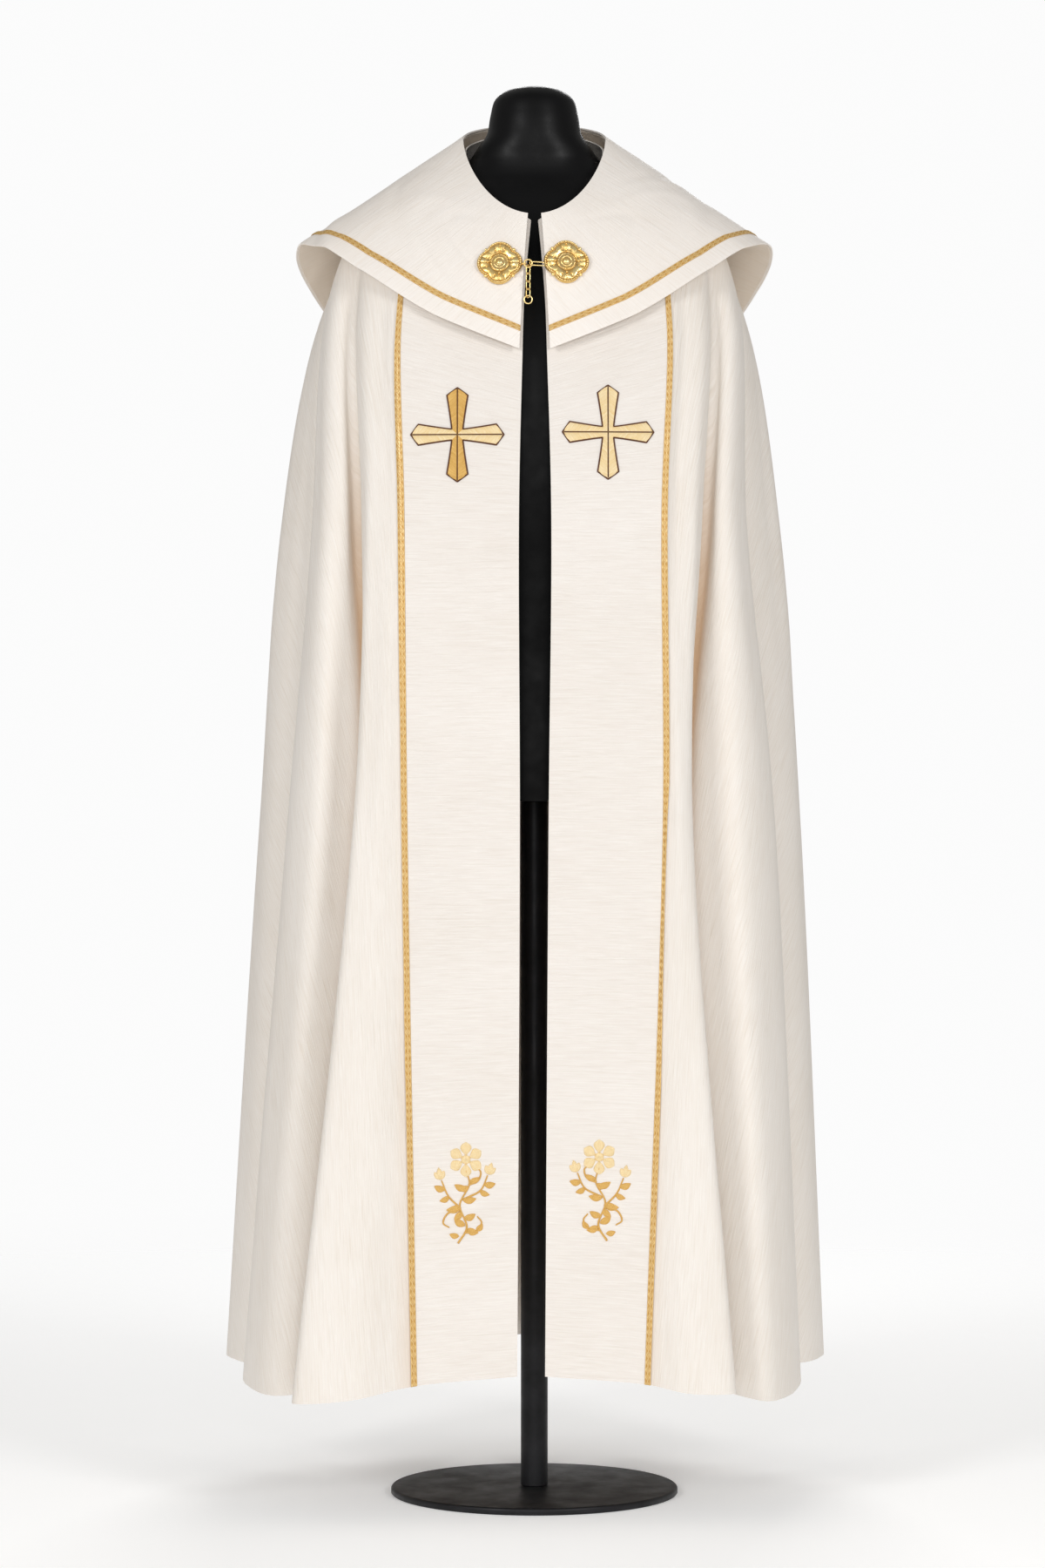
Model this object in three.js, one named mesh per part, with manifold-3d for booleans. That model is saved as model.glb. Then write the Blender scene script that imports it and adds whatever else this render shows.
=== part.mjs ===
// Cope vestment: a half-circle mantle with two front bands, a flat shoulder cape and a gilt clasp,
// hanging on a plain limbless dress form with a pole and a round base.
// Millimetres, +Z up. The floor is z = 0, the origin is under the middle of the base, the front faces -Y.
// "Left" and "right" are the viewer's: left is -X.

import * as THREE from 'three';
import { mergeVertices } from 'three/addons/utils/BufferGeometryUtils.js';
import Module from 'manifold-3d';

const wasm = await Module();
wasm.setup();

const degree = Math.PI / 180;

// ---------------------------------------------------------------- driving dimensions

const gap = 0.3;                 // between sewn layers, and between rigid pieces that touch
const mantleWall = 1.5;
const bandWall = 1.2;            // the front bands
const braidWall = 1.2;
const braidHalfWidth = 3.6;
const capeletWall = 2;
const liningWall = 1;
const mantleUnderCapelet = 13;   // how far the mantle lies below the capelet on the shoulders

// The neckline, an oval seen from above. It is lower in front than at the shoulders, and higher behind.
const neck = { half: 84, front: 118, back: 75, shoulderZ: 1605, frontDrop: 104, backRise: 28, opening: 5.2 };

// The capelet's hem, an oval seen from above, and its height at bearings counted from the front.
const capeletHem = { half: 282, front: 158, back: 235, opening: 3.6 };
const capeletHemHeights = [
  { bearing: 0, z: 1334 },
  { bearing: 24, z: 1381 },
  { bearing: 48, z: 1442 },
  { bearing: 60, z: 1466 },
  { bearing: 76, z: 1475 },
  { bearing: 90, z: 1463 },
  { bearing: 104, z: 1440 },
  { bearing: 130, z: 1370 },
  { bearing: 155, z: 1312 },
  { bearing: 180, z: 1293 },
];
const capeletCrown = { front: 3, side: 4, back: 8 };   // how far its slope bows out between neck and hem
const capeletBraidInset = 24;    // from the hem to the middle of the braid
const capeletColumns = 48;
const capeletRows = [0, 0.25, 0.5, 0.76, 1];   // parts of the way from the neckline to the braid
const liningTrim = 3;

// The mantle's first cross-sections lie on the shoulders, these parts of the way down the capelet's slope.
const shoulderParts = [0.02, 0.32, 0.62];

// Below the shoulder the mantle swells out over the upper arm, this part of the way down to the chest.
const armPart = 0.28;
const armSwell = { front: 4, side: 22 };

// The heights of the mantle's cross-sections below the shoulders, and its rows: 0 is the neckline, 2 the
// shoulder, 3 the arm, 4 the chest, 5 the waist and 6 the hem.
const chestZ = 1150;
const waistZ = 800;
const deepHemZ = 142;
const mantleRows = [0, 1, 1.5, 2, 2.35, 2.7, 3, 3.5, 4, 4.5, 5, 5.33, 5.66, 6];

// Lines that the mantle's folds follow down, in order round each side from the front edge to the back.
// neck and yoke are bearings on the neckline and on the shoulders; chest, waist and hem are [x, y] or [x, y, z].
const leftFolds = [
  { line: 'front edge', neck: 5, yoke: 4, chest: [-18, -166], waist: [-17, -170], hem: [-20, -170, 160] },
  { line: 'braid', neck: 48, yoke: 45, chest: [-153, -160], waist: [-150, -168], hem: [-139, -173, 149] },
  { line: 'panel swell', neck: 53, yoke: 50, chest: [-170, -157], waist: [-177, -172], hem: [-212, -200, 136] },
  { line: 'panel edge', neck: 58, yoke: 56, chest: [-186, -148], waist: [-202, -162], hem: [-273, -188, 131] },
  { line: 'panel under', neck: 63, yoke: 62, chest: [-198, -137], waist: [-202, -140], hem: [-262, -156, 134] },
  { line: 'first deep', neck: 68, yoke: 67, chest: [-206, -112], waist: [-190, -110], hem: [-184, -96, 140] },
  { line: 'side inner', neck: 72, yoke: 71, chest: [-217, -116], waist: [-212, -106], hem: [-236, -114, 138] },
  { line: 'side front', neck: 76, yoke: 76, chest: [-236, -112], waist: [-254, -114], hem: [-300, -130, 132] },
  { line: 'side edge', neck: 81, yoke: 82, chest: [-256, -76], waist: [-288, -58], hem: [-341, -40, 137] },
  { line: 'side under', neck: 85, yoke: 87, chest: [-255, -50], waist: [-279, -22], hem: [-324, 14, 140] },
  { line: 'second deep', neck: 89, yoke: 91, chest: [-250, -26], waist: [-248, 0], hem: [-226, 34, 142] },
  { line: 'back inner', neck: 92, yoke: 95, chest: [-266, -4], waist: [-275, 30], hem: [-276, 72, 141] },
  { line: 'back front', neck: 96, yoke: 99, chest: [-284, 24], waist: [-314, 68], hem: [-346, 104, 139] },
  { line: 'back edge', neck: 100, yoke: 104, chest: [-299, 72], waist: [-330, 130], hem: [-373, 190, 141] },
];
const rightFolds = [
  { line: 'front edge', neck: 5, yoke: 4, chest: [19, -166], waist: [16, -170], hem: [12, -170, 160] },
  { line: 'braid', neck: 48, yoke: 45, chest: [149, -160], waist: [151, -168], hem: [130, -174, 151] },
  { line: 'panel swell', neck: 53, yoke: 50, chest: [164, -157], waist: [166, -171], hem: [178, -194, 143] },
  { line: 'panel edge', neck: 58, yoke: 56, chest: [180, -148], waist: [176, -160], hem: [226, -184, 142] },
  { line: 'panel under', neck: 63, yoke: 62, chest: [192, -137], waist: [177, -138], hem: [216, -150, 143] },
  { line: 'first deep', neck: 68, yoke: 67, chest: [199, -112], waist: [172, -108], hem: [166, -98, 144] },
  { line: 'side inner', neck: 72, yoke: 71, chest: [210, -116], waist: [200, -112], hem: [214, -124, 138] },
  { line: 'side front', neck: 76, yoke: 76, chest: [226, -112], waist: [240, -116], hem: [268, -140, 127] },
  { line: 'side edge', neck: 81, yoke: 82, chest: [246, -76], waist: [280, -56], hem: [314, -20, 134] },
  { line: 'side under', neck: 85, yoke: 87, chest: [245, -50], waist: [272, -20], hem: [299, 30, 139] },
  { line: 'second deep', neck: 89, yoke: 91, chest: [240, -26], waist: [240, 2], hem: [208, 44, 142] },
  { line: 'back inner', neck: 92, yoke: 95, chest: [257, -4], waist: [266, 32], hem: [258, 82, 141] },
  { line: 'back front', neck: 96, yoke: 99, chest: [274, 24], waist: [304, 70], hem: [328, 112, 139] },
  { line: 'back edge', neck: 100, yoke: 104, chest: [289, 72], waist: [321, 130], hem: [352, 194, 141] },
];

// The back's own pipes: its outline at each level, and each pipe's bearing, width and the fold beside it.
const backOutline = {
  chest: { left: 299, right: 289, middleY: 50, depth: 180, fold: 22 },
  waist: { left: 330, right: 321, middleY: 95, depth: 210, fold: 62 },
  hem: { left: 373, right: 353, middleY: 152, depth: 250, fold: 116 },
};
const backPipeReach = 22;        // bearings from the outer pipes to the deep folds at the back's two ends
const backPipes = [
  { bearing: 121, halfWidth: 4.5, fold: 1.0, hemZ: 138 },
  { bearing: 141, halfWidth: 4.0, fold: 0.9, hemZ: 141 },
  { bearing: 160, halfWidth: 5.0, fold: 1.05, hemZ: 137 },
  { bearing: 181, halfWidth: 4.6, fold: 0.95, hemZ: 136 },
  { bearing: 202, halfWidth: 4.2, fold: 1.08, hemZ: 139 },
  { bearing: 221, halfWidth: 4.8, fold: 0.88, hemZ: 140 },
  { bearing: 241, halfWidth: 4.2, fold: 1.0, hemZ: 138 },
];

// The dress form, a stack of ovals: half width, and depth in front of and behind its middle.
const formSections = [
  { z: 1665, half: 22, front: 22, back: 22 },
  { z: 1660, half: 37, front: 37, back: 37 },
  { z: 1650, half: 48, front: 48, back: 48 },
  { z: 1631, half: 53, front: 52, back: 52 },
  { z: 1610, half: 57, front: 53, back: 53 },
  { z: 1594, half: 68, front: 52, back: 53 },
  { z: 1577, half: 80, front: 50, back: 56 },
  { z: 1556, half: 118, front: 52, back: 64 },
  { z: 1535, half: 154, front: 64, back: 82 },
  { z: 1508, half: 180, front: 74, back: 102 },
  { z: 1475, half: 192, front: 92, back: 120 },
  { z: 1430, half: 196, front: 110, back: 134 },
  { z: 1370, half: 192, front: 126, back: 138 },
  { z: 1290, half: 182, front: 134, back: 130 },
  { z: 1190, half: 166, front: 132, back: 112 },
  { z: 1080, half: 150, front: 118, back: 96 },
  { z: 980, half: 148, front: 112, back: 98 },
  { z: 880, half: 152, front: 114, back: 106 },
  { z: 820, half: 150, front: 112, back: 106 },
];
const formSides = 24;
const pole = { radius: 16, sides: 24 };
const base = { radius: 170, thickness: 8, rim: 3, sides: 48 };

// The clasp: two rosettes sewn to the capelet, a ring between them, and a chain tail.
const rosette = { lobeCentre: 10, lobeRadius: 16.5, plate: 2.6, bevel: 1.2, domeRadius: 11, domeHeight: 3.2 };
const rosetteCentres = { left: { x: -40, z: 1441 }, right: { x: 36.5, z: 1442.5 } };
const claspRing = { x: -7.5, y: -150.5, z: 1440, radius: 4.5, wire: 1 };
const tail = { links: 4, width: 3, length: 10.6, wire: 0.65, endRadius: 4.6, endWire: 0.9 };
const ringGap = 0.9;             // between a link and the ring above or below it, as they swing at a slant
const leftEyeSize = { length: 12.4, width: 4.4, back: 4 };
const hook = { length: 19, width: 6.4, aside: 10.7, back: 2.6, slant: 0.42, tilt: 45 };
const eyeWire = 0.8;
const wireSteps = 12;            // round a loop of wire
const wireSides = 6;             // round the wire itself
const rosetteLift = 1.4;

// ---------------------------------------------------------------- colours

const ivory = { color: 0xf2eadf, roughness: 0.62, metalness: 0 };
const beige = { color: 0xd8c8b0, roughness: 0.7, metalness: 0 };
const goldThread = { color: 0xe0b25c, roughness: 0.42, metalness: 0.25 };
const giltMetal = { color: 0xd9ac4e, roughness: 0.28, metalness: 1 };
const blackCover = { color: 0x121214, roughness: 0.38, metalness: 0 };
const blackSteel = { color: 0x1b1b1e, roughness: 0.45, metalness: 0.6 };

const cope = new THREE.Group();

function addPiece(name, geometry, finish) {
  const mesh = new THREE.Mesh(geometry, new THREE.MeshStandardMaterial(finish));
  mesh.name = name;
  cope.add(mesh);
  return mesh;
}

// ---------------------------------------------------------------- smooth lines and walls of cloth

const point = (x, y, z) => new THREE.Vector3(x, y, z);
const blend = THREE.MathUtils.lerp;

// A smooth line through points. place counts along it in points: 2.5 is halfway from point 2 to point 3.
function smoothLine(points) {
  const curve = new THREE.CatmullRomCurve3(points, false, 'centripetal');
  return (place) => curve.getPoint(place / (points.length - 1));
}

// Cloth as a net: net[column][row] holds a place on the surface and its outward direction.
// Columns run round the wearer from the left front edge to the right, and rows run from the neck to the hem.
function clothNet(places) {
  const lastColumn = places.length - 1;
  const lastRow = places[0].length - 1;
  return places.map((column, i) => column.map((place, j) => {
    const before = places[Math.max(i - 1, 0)][j];
    const after = places[Math.min(i + 1, lastColumn)][j];
    const above = column[Math.max(j - 1, 0)];
    const below = column[Math.min(j + 1, lastRow)];
    const round = after.clone().sub(before);
    const down = below.clone().sub(above);
    return { place, outward: round.cross(down).normalize() };
  }));
}

// A closed wall of cloth between two distances out from a net: two skins and a strip round the edge.
function clothWall(net, inner, outer) {
  const columns = net.length;
  const rows = net[0].length;
  const positions = [];
  for (const distance of [outer, inner]) {
    for (const column of net) {
      for (const { place, outward } of column) {
        positions.push(...place.clone().addScaledVector(outward, distance).toArray());
      }
    }
  }
  const out = (i, j) => i * rows + j;
  const inside = (i, j) => columns * rows + i * rows + j;
  const faces = [];
  const quad = (a, b, c, d) => faces.push(a, b, c, a, c, d);
  for (let i = 0; i < columns - 1; i++) {
    for (let j = 0; j < rows - 1; j++) {
      quad(out(i, j), out(i + 1, j), out(i + 1, j + 1), out(i, j + 1));
      quad(inside(i, j), inside(i, j + 1), inside(i + 1, j + 1), inside(i + 1, j));
    }
    const last = rows - 1;
    quad(out(i, 0), inside(i, 0), inside(i + 1, 0), out(i + 1, 0));
    quad(out(i, last), out(i + 1, last), inside(i + 1, last), inside(i, last));
  }
  for (let j = 0; j < rows - 1; j++) {
    const last = columns - 1;
    quad(out(0, j), out(0, j + 1), inside(0, j + 1), inside(0, j));
    quad(out(last, j), inside(last, j), inside(last, j + 1), out(last, j + 1));
  }
  return indexedGeometry(positions, faces);
}

function indexedGeometry(positions, faces) {
  const geometry = new THREE.BufferGeometry();
  geometry.setAttribute('position', new THREE.Float32BufferAttribute(positions, 3));
  geometry.setIndex(faces);
  return geometry;
}

// ---------------------------------------------------------------- the shoulders: neckline, capelet slope

// A point on an oval seen from above: bearing 0 is the front, 90 the left side, 180 the back.
function onOval(oval, bearing) {
  const depth = Math.cos(bearing * degree) > 0 ? oval.front : oval.back;
  return [-oval.half * Math.sin(bearing * degree), -depth * Math.cos(bearing * degree)];
}

function neckPoint(bearing) {
  const [x, y] = onOval(neck, bearing);
  const forward = Math.cos(bearing * degree);
  const drop = forward > 0 ? neck.frontDrop * forward ** 1.2 : neck.backRise * forward;
  return point(x, y, neck.shoulderZ - drop);
}

const hemHeightLine = smoothLine(capeletHemHeights.map(({ bearing, z }) => point(bearing, 0, z)));

function capeletHemPoint(bearing) {
  const [x, y] = onOval(capeletHem, bearing);
  const fromFront = bearing > 180 ? 360 - bearing : bearing;
  const next = capeletHemHeights.findIndex((row) => row.bearing >= fromFront);
  const last = Math.max(next, 1);
  const { bearing: start } = capeletHemHeights[last - 1];
  const part = (fromFront - start) / (capeletHemHeights[last].bearing - start);
  return point(x, y, hemHeightLine(last - 1 + part).z);
}

// The shoulders' slope from the neckline (down = 0) to the capelet's hem (down = 1), bowed out between them,
// and moved out by lift, or in where lift is negative.
function slopePoint(neckBearing, hemBearing, down, lift = 0) {
  const top = neckPoint(neckBearing);
  const slope = capeletHemPoint(hemBearing).sub(top);
  const run = Math.hypot(slope.x, slope.y);
  const outward = point(slope.x * -slope.z / run, slope.y * -slope.z / run, run).normalize();
  const end = Math.cos(hemBearing * degree) > 0 ? capeletCrown.front : capeletCrown.back;
  const side = Math.sin(hemBearing * degree) ** 2;
  const crown = blend(end, capeletCrown.side, side) * Math.sin(Math.PI * down ** 0.8);
  return top.addScaledVector(slope, down).addScaledVector(outward, crown + lift);
}

// ---------------------------------------------------------------- the capelet, its lining and braid

// One column of the capelet: rows down to the braid, the braid's two edges, and the hem.
function capeletColumn(neckBearing, hemBearing) {
  const length = neckPoint(neckBearing).distanceTo(capeletHemPoint(hemBearing));
  const braidTop = 1 - (capeletBraidInset + braidHalfWidth) / length;
  const braidBottom = 1 - (capeletBraidInset - braidHalfWidth) / length;
  const rows = [...capeletRows.map((part) => part * braidTop), braidBottom, 1];
  return rows.map((down) => slopePoint(neckBearing, hemBearing, down));
}

function capeletPlaces() {
  const places = [];
  for (let i = 0; i <= capeletColumns; i++) {
    const turn = i / capeletColumns;
    const neckBearing = blend(neck.opening, 360 - neck.opening, turn);
    const hemBearing = blend(capeletHem.opening, 360 - capeletHem.opening, turn);
    places.push(capeletColumn(neckBearing, hemBearing));
  }
  return places;
}

// The place so many millimetres from one corner of a facet towards another.
function toward(from, to, distance) {
  return from.clone().addScaledVector(to.clone().sub(from).normalize(), distance);
}

// The same net with its four edges drawn in, still on its own facets.
function trimmed(net, amount) {
  const pull = (line) => line.map((knot, k) => {
    const other = k === 0 ? line[1] : line[k - 1];
    const atEnd = k === 0 || k === line.length - 1;
    return { ...knot, place: atEnd ? toward(knot.place, other.place, amount) : knot.place };
  });
  const shorter = net.map(pull);
  const ends = [[0, 1], [net.length - 1, net.length - 2]];
  for (const [end, inside] of ends) {
    shorter[end] = shorter[end].map((knot, row) => ({
      ...knot,
      place: toward(knot.place, shorter[inside][row].place, amount),
    }));
  }
  return shorter;
}

const capeletCloth = clothNet(capeletPlaces());
const braidRow = capeletRows.length - 1;
const capeletBraidNet = capeletCloth.map((column) => column.slice(braidRow, braidRow + 2));
addPiece('capelet', clothWall(capeletCloth, 0, capeletWall), ivory);
addPiece('capelet_lining', clothWall(trimmed(capeletCloth, liningTrim), -gap - liningWall, -gap), beige);
addPiece('capelet_braid', clothWall(capeletBraidNet, capeletWall + gap, capeletWall + gap + braidWall), goldThread);

// ---------------------------------------------------------------- the mantle and what is sewn on it

// A place on the back's outline at one level, moved in by the depth of the fold there.
function backPlace({ left, right, middleY, depth }, bearing, inward) {
  const half = bearing < 180 ? left : right;
  const x = -half * Math.sin(bearing * degree);
  const y = -depth * Math.cos(bearing * degree);
  const keep = 1 - inward / Math.hypot(x, y);
  return [x * keep, middleY + y * keep];
}

function backLine(bearing, fold, hemZ) {
  const at = (level) => backPlace(level, bearing, fold * level.fold);
  const hem = [...at(backOutline.hem), hemZ];
  return { neck: bearing, yoke: bearing, chest: at(backOutline.chest), waist: at(backOutline.waist), hem };
}

// Two lines along the crest of each pipe, and one along the deep fold between two pipes.
function backLines() {
  const ends = [backPipes[0].bearing - backPipeReach, backPipes.at(-1).bearing + backPipeReach];
  const bearings = [ends[0], ...backPipes.map((pipe) => pipe.bearing), ends[1]];
  const lines = [];
  for (let k = 0; k < bearings.length - 1; k++) {
    const pipe = backPipes[k];
    const fold = pipe ? pipe.fold : backPipes[0].fold;
    lines.push(backLine((bearings[k] + bearings[k + 1]) / 2, fold, deepHemZ));
    if (pipe) {
      lines.push(backLine(pipe.bearing - pipe.halfWidth, 0, pipe.hemZ));
      lines.push(backLine(pipe.bearing + pipe.halfWidth, 0, pipe.hemZ));
    }
  }
  return lines;
}

// A fold line's places from the neckline to the hem. Below the shoulder the cloth swells out over the arm.
function foldLevels({ neck: neckBearing, yoke, chest, waist, hem }) {
  const onShoulders = shoulderParts.map((down) => slopePoint(neckBearing, yoke, down, -mantleUnderCapelet));
  const chestPlace = point(chest[0], chest[1], chestZ);
  const arm = onShoulders.at(-1).clone().lerp(chestPlace, armPart);
  const swell = armSwell.front + armSwell.side * Math.sin(yoke * degree) ** 2;
  arm.addScaledVector(point(arm.x, arm.y, 0).normalize(), swell);
  return [...onShoulders, arm, chestPlace, point(waist[0], waist[1], waistZ), point(...hem)];
}

const mirrored = (row) => ({ ...row, neck: 360 - row.neck, yoke: 360 - row.yoke });
const foldLines = [...leftFolds, ...backLines(), ...rightFolds.map(mirrored).reverse()];
const foldPlaces = foldLines.map(foldLevels);
const lastLine = foldLines.length - 1;

const bandParts = 3;

// The columns' places among the fold lines: thirds over the flat front bands, and halves over the folds.
function columnPlaces() {
  const places = [];
  for (let line = 0; line < lastLine; line++) {
    const parts = line === 0 || line === lastLine - 1 ? bandParts : 2;
    for (let k = 0; k < parts; k++) {
      places.push(line + k / parts);
    }
  }
  return [...places, lastLine];
}

// Adds a column on each side of one, a braid's half width away, so that the braid's edges lie on the mantle.
function addBraidEdges(columns, middle) {
  const beside = (other) => columns[middle].map((place, row) => toward(place, columns[other][row], braidHalfWidth));
  columns.splice(middle, 1, beside(middle - 1), columns[middle], beside(middle + 1));
}

function mantleColumns() {
  const levels = foldPlaces[0].map((_, row) => smoothLine(foldPlaces.map((line) => line[row])));
  const columns = columnPlaces().map((place) => {
    const down = smoothLine(levels.map((level) => level(place)));
    return mantleRows.map(down);
  });
  addBraidEdges(columns, bandParts);
  addBraidEdges(columns, columns.length - 1 - bandParts);
  return columns;
}

const mantleNet = clothNet(mantleColumns());
const onMantle = mantleWall + gap;
const onBand = onMantle + bandWall + gap;
const bandSpan = 5;              // columns from the front edge to the braid's far edge
addPiece('mantle', clothWall(mantleNet, 0, mantleWall), ivory);
for (const [side, band, braid] of [
  ['left', mantleNet.slice(0, bandSpan), mantleNet.slice(bandSpan - 2, bandSpan + 1)],
  ['right', mantleNet.slice(-bandSpan), mantleNet.slice(-bandSpan - 1, 2 - bandSpan)],
]) {
  addPiece(`orphrey_${side}`, clothWall(band, onMantle, onMantle + bandWall), ivory);
  addPiece(`orphrey_braid_${side}`, clothWall(braid, onBand, onBand + braidWall), goldThread);
}

// ---------------------------------------------------------------- the dress form

function formTorso() {
  const positions = [];
  for (const { z, half, front, back } of formSections) {
    for (let k = 0; k < formSides; k++) {
      positions.push(...onOval({ half, front, back }, 360 * k / formSides), z);
    }
  }
  const top = formSections.length * formSides;
  positions.push(0, 0, formSections[0].z + 1, 0, 0, formSections.at(-1).z);
  const faces = [];
  for (let k = 0; k < formSides; k++) {
    const next = (k + 1) % formSides;
    for (let j = 0; j < formSections.length - 1; j++) {
      const [a, b] = [j * formSides + k, j * formSides + next];
      faces.push(a, b, b + formSides, a, b + formSides, a + formSides);
    }
    faces.push(top, next, k);
    faces.push(top + 1, top - formSides + k, top - formSides + next);
  }
  return indexedGeometry(positions, faces);
}

// A round piece from its profile, [radius, height] from the axis and back to it, turned to stand on +Z.
function turned(profile, sides) {
  const geometry = new THREE.LatheGeometry(profile.map(([radius, height]) => new THREE.Vector2(radius, height)), sides);
  return geometry.rotateX(Math.PI / 2);
}

const { radius, thickness, rim } = base;
const poleTop = formSections.at(-1).z - gap;
addPiece('form_torso', formTorso(), blackCover);
addPiece('form_pole', turned([
  [0, thickness + gap],
  [pole.radius, thickness + gap],
  [pole.radius, poleTop],
  [0, poleTop],
], pole.sides), blackSteel);
addPiece('form_base', turned([
  [0, 0],
  [radius, 0],
  [radius, thickness - rim],
  [radius - rim, thickness],
  [0, thickness],
], base.sides), blackSteel);

// ---------------------------------------------------------------- the clasp

// A closed loop of wire: two straight sides joined by half circles, or a ring where length and width are equal.
function wireLoop({ centre, along, across, length, width, wire }) {
  const [steps, sides] = [wireSteps, wireSides];
  const axis = along.clone().cross(across);
  const positions = [];
  const faces = [];
  for (let k = 0; k < steps; k++) {
    const angle = (k + 0.5) * 2 * Math.PI / steps;
    const out = along.clone().multiplyScalar(Math.cos(angle)).addScaledVector(across, Math.sin(angle));
    const middle = centre.clone().addScaledVector(out, width / 2);
    middle.addScaledVector(along, Math.sign(Math.cos(angle)) * (length - width) / 2);
    for (let m = 0; m < sides; m++) {
      const turn = m * 2 * Math.PI / sides;
      const place = middle.clone().addScaledVector(out, wire * Math.cos(turn)).addScaledVector(axis, wire * Math.sin(turn));
      positions.push(...place.toArray());
      const [a, b] = [k * sides + m, k * sides + (m + 1) % sides];
      const [c, d] = [a, b].map((corner) => (corner + sides) % (steps * sides));
      faces.push(a, c, d, a, d, b);
    }
  }
  return indexedGeometry(positions, faces);
}

function solid(geometry) {
  geometry.deleteAttribute('normal');
  geometry.deleteAttribute('uv');
  const { attributes, index } = mergeVertices(geometry, 1e-4);
  return new wasm.Manifold(new wasm.Mesh({
    numProp: 3,
    vertProperties: new Float32Array(attributes.position.array),
    triVerts: new Uint32Array(index.array),
  }));
}

function joined(geometries) {
  const { vertProperties, triVerts } = geometries.map(solid).reduce((all, next) => all.add(next)).getMesh();
  return indexedGeometry([...vertProperties], [...triVerts]);
}

// A plate with four round lobes, one on each axis, and a low dome in its middle.
function rosettePlate() {
  const { lobeCentre, lobeRadius, plate, bevel, domeRadius, domeHeight } = rosette;
  const reach = Math.PI / 4 + Math.asin(lobeCentre * Math.SQRT1_2 / lobeRadius);
  const outline = new THREE.Shape();
  for (let lobe = 0; lobe < 4; lobe++) {
    const facing = lobe * Math.PI / 2;
    const middle = [lobeCentre * Math.cos(facing), lobeCentre * Math.sin(facing)];
    outline.absarc(...middle, lobeRadius - bevel, facing - reach, facing + reach, false);
  }
  const slab = new THREE.ExtrudeGeometry(outline, {
    depth: plate,
    bevelThickness: bevel,
    bevelSize: bevel,
    bevelSegments: 1,
    curveSegments: 5,
  }).translate(0, 0, bevel);
  const arc = [0, 0.25, 0.5, 0.75, 1].map((part) => {
    const angle = part * Math.PI / 2;
    return [domeRadius * Math.cos(angle), plate + bevel + domeHeight * Math.sin(angle)];
  });
  return [slab, turned([[0, plate / 2], [domeRadius, plate / 2], ...arc.slice(0, -1), [0, arc.at(-1)[1]]], 16)];
}

// Finds the capelet's bearing and slope at an x and z on its front, then the place and outward direction there.
function onCapelet({ x, z }) {
  let bearing = x < 0 ? 15 : 345;
  let down = 0.4;
  for (let round = 0; round < 40; round++) {
    const here = slopePoint(bearing, bearing, down);
    bearing += (here.x - x) / capeletHem.front / degree;
    down += (here.z - z) / (neck.shoulderZ - capeletHemHeights[0].z);
  }
  const place = slopePoint(bearing, bearing, down);
  const round = slopePoint(bearing + 1, bearing + 1, down).sub(place);
  const below = slopePoint(bearing, bearing, down + 0.01).sub(place);
  return { place, outward: round.cross(below).normalize() };
}

// Lays pieces made flat, facing +Z, on the capelet at a rosette's centre.
function laidOnCapelet(geometries, centre) {
  const { place, outward } = onCapelet(centre);
  const across = point(0, 0, 1).cross(outward).normalize();
  const up = outward.clone().cross(across);
  const frame = new THREE.Matrix4().makeBasis(across, up, outward);
  frame.setPosition(place.addScaledVector(outward, capeletWall + rosetteLift));
  return geometries.map((geometry) => geometry.applyMatrix4(frame));
}

const ringCentre = point(claspRing.x, claspRing.y, claspRing.z);
const sideways = point(1, 0, 0);
const up = point(0, 0, 1);
const leftEye = wireLoop({
  centre: ringCentre.clone().add(point(-claspRing.radius, leftEyeSize.back, 0)),
  along: point(0, 1, 0),
  across: point(-1, 0, 0),
  length: leftEyeSize.length,
  width: leftEyeSize.width,
  wire: eyeWire,
});
const hookTilt = hook.tilt * degree;
const hookAlong = point(1, hook.slant, 0).normalize();
const hookLink = wireLoop({
  centre: ringCentre.clone().add(point(hook.aside, hook.back, 0)),
  along: hookAlong,
  across: up.clone().cross(hookAlong).multiplyScalar(Math.cos(hookTilt)).addScaledVector(up, Math.sin(hookTilt)),
  length: hook.length,
  width: hook.width,
  wire: eyeWire,
});
addPiece('rosette_left', joined([...laidOnCapelet(rosettePlate(), rosetteCentres.left), leftEye]), giltMetal);
addPiece('rosette_right', joined([...laidOnCapelet(rosettePlate(), rosetteCentres.right), hookLink]), giltMetal);
addPiece('clasp_ring', wireLoop({
  centre: ringCentre,
  along: sideways,
  across: up,
  length: 2 * claspRing.radius,
  width: 2 * claspRing.radius,
  wire: claspRing.wire,
}), giltMetal);

// The tail: each link hangs in the one above, turned a quarter round, and the last one holds a ring.
let hangZ = claspRing.z - claspRing.radius + claspRing.wire + ringGap + tail.wire;
for (let k = 1; k <= tail.links; k++) {
  const turn = (k % 2 ? 45 : 135) * degree;
  addPiece(`tail_link_${k}`, wireLoop({
    centre: point(claspRing.x, claspRing.y, hangZ - tail.length / 2),
    along: up,
    across: point(Math.cos(turn), Math.sin(turn), 0),
    length: tail.length,
    width: 2 * tail.width,
    wire: tail.wire,
  }), giltMetal);
  hangZ += 2 * tail.wire + gap - tail.length;
}
const endRingTop = hangZ - gap + ringGap - tail.wire + tail.endWire;
addPiece('tail_end_ring', wireLoop({
  centre: point(claspRing.x, claspRing.y, endRingTop - tail.endRadius),
  along: sideways,
  across: up,
  length: 2 * tail.endRadius,
  width: 2 * tail.endRadius,
  wire: tail.endWire,
}), giltMetal);

export default cope;
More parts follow.
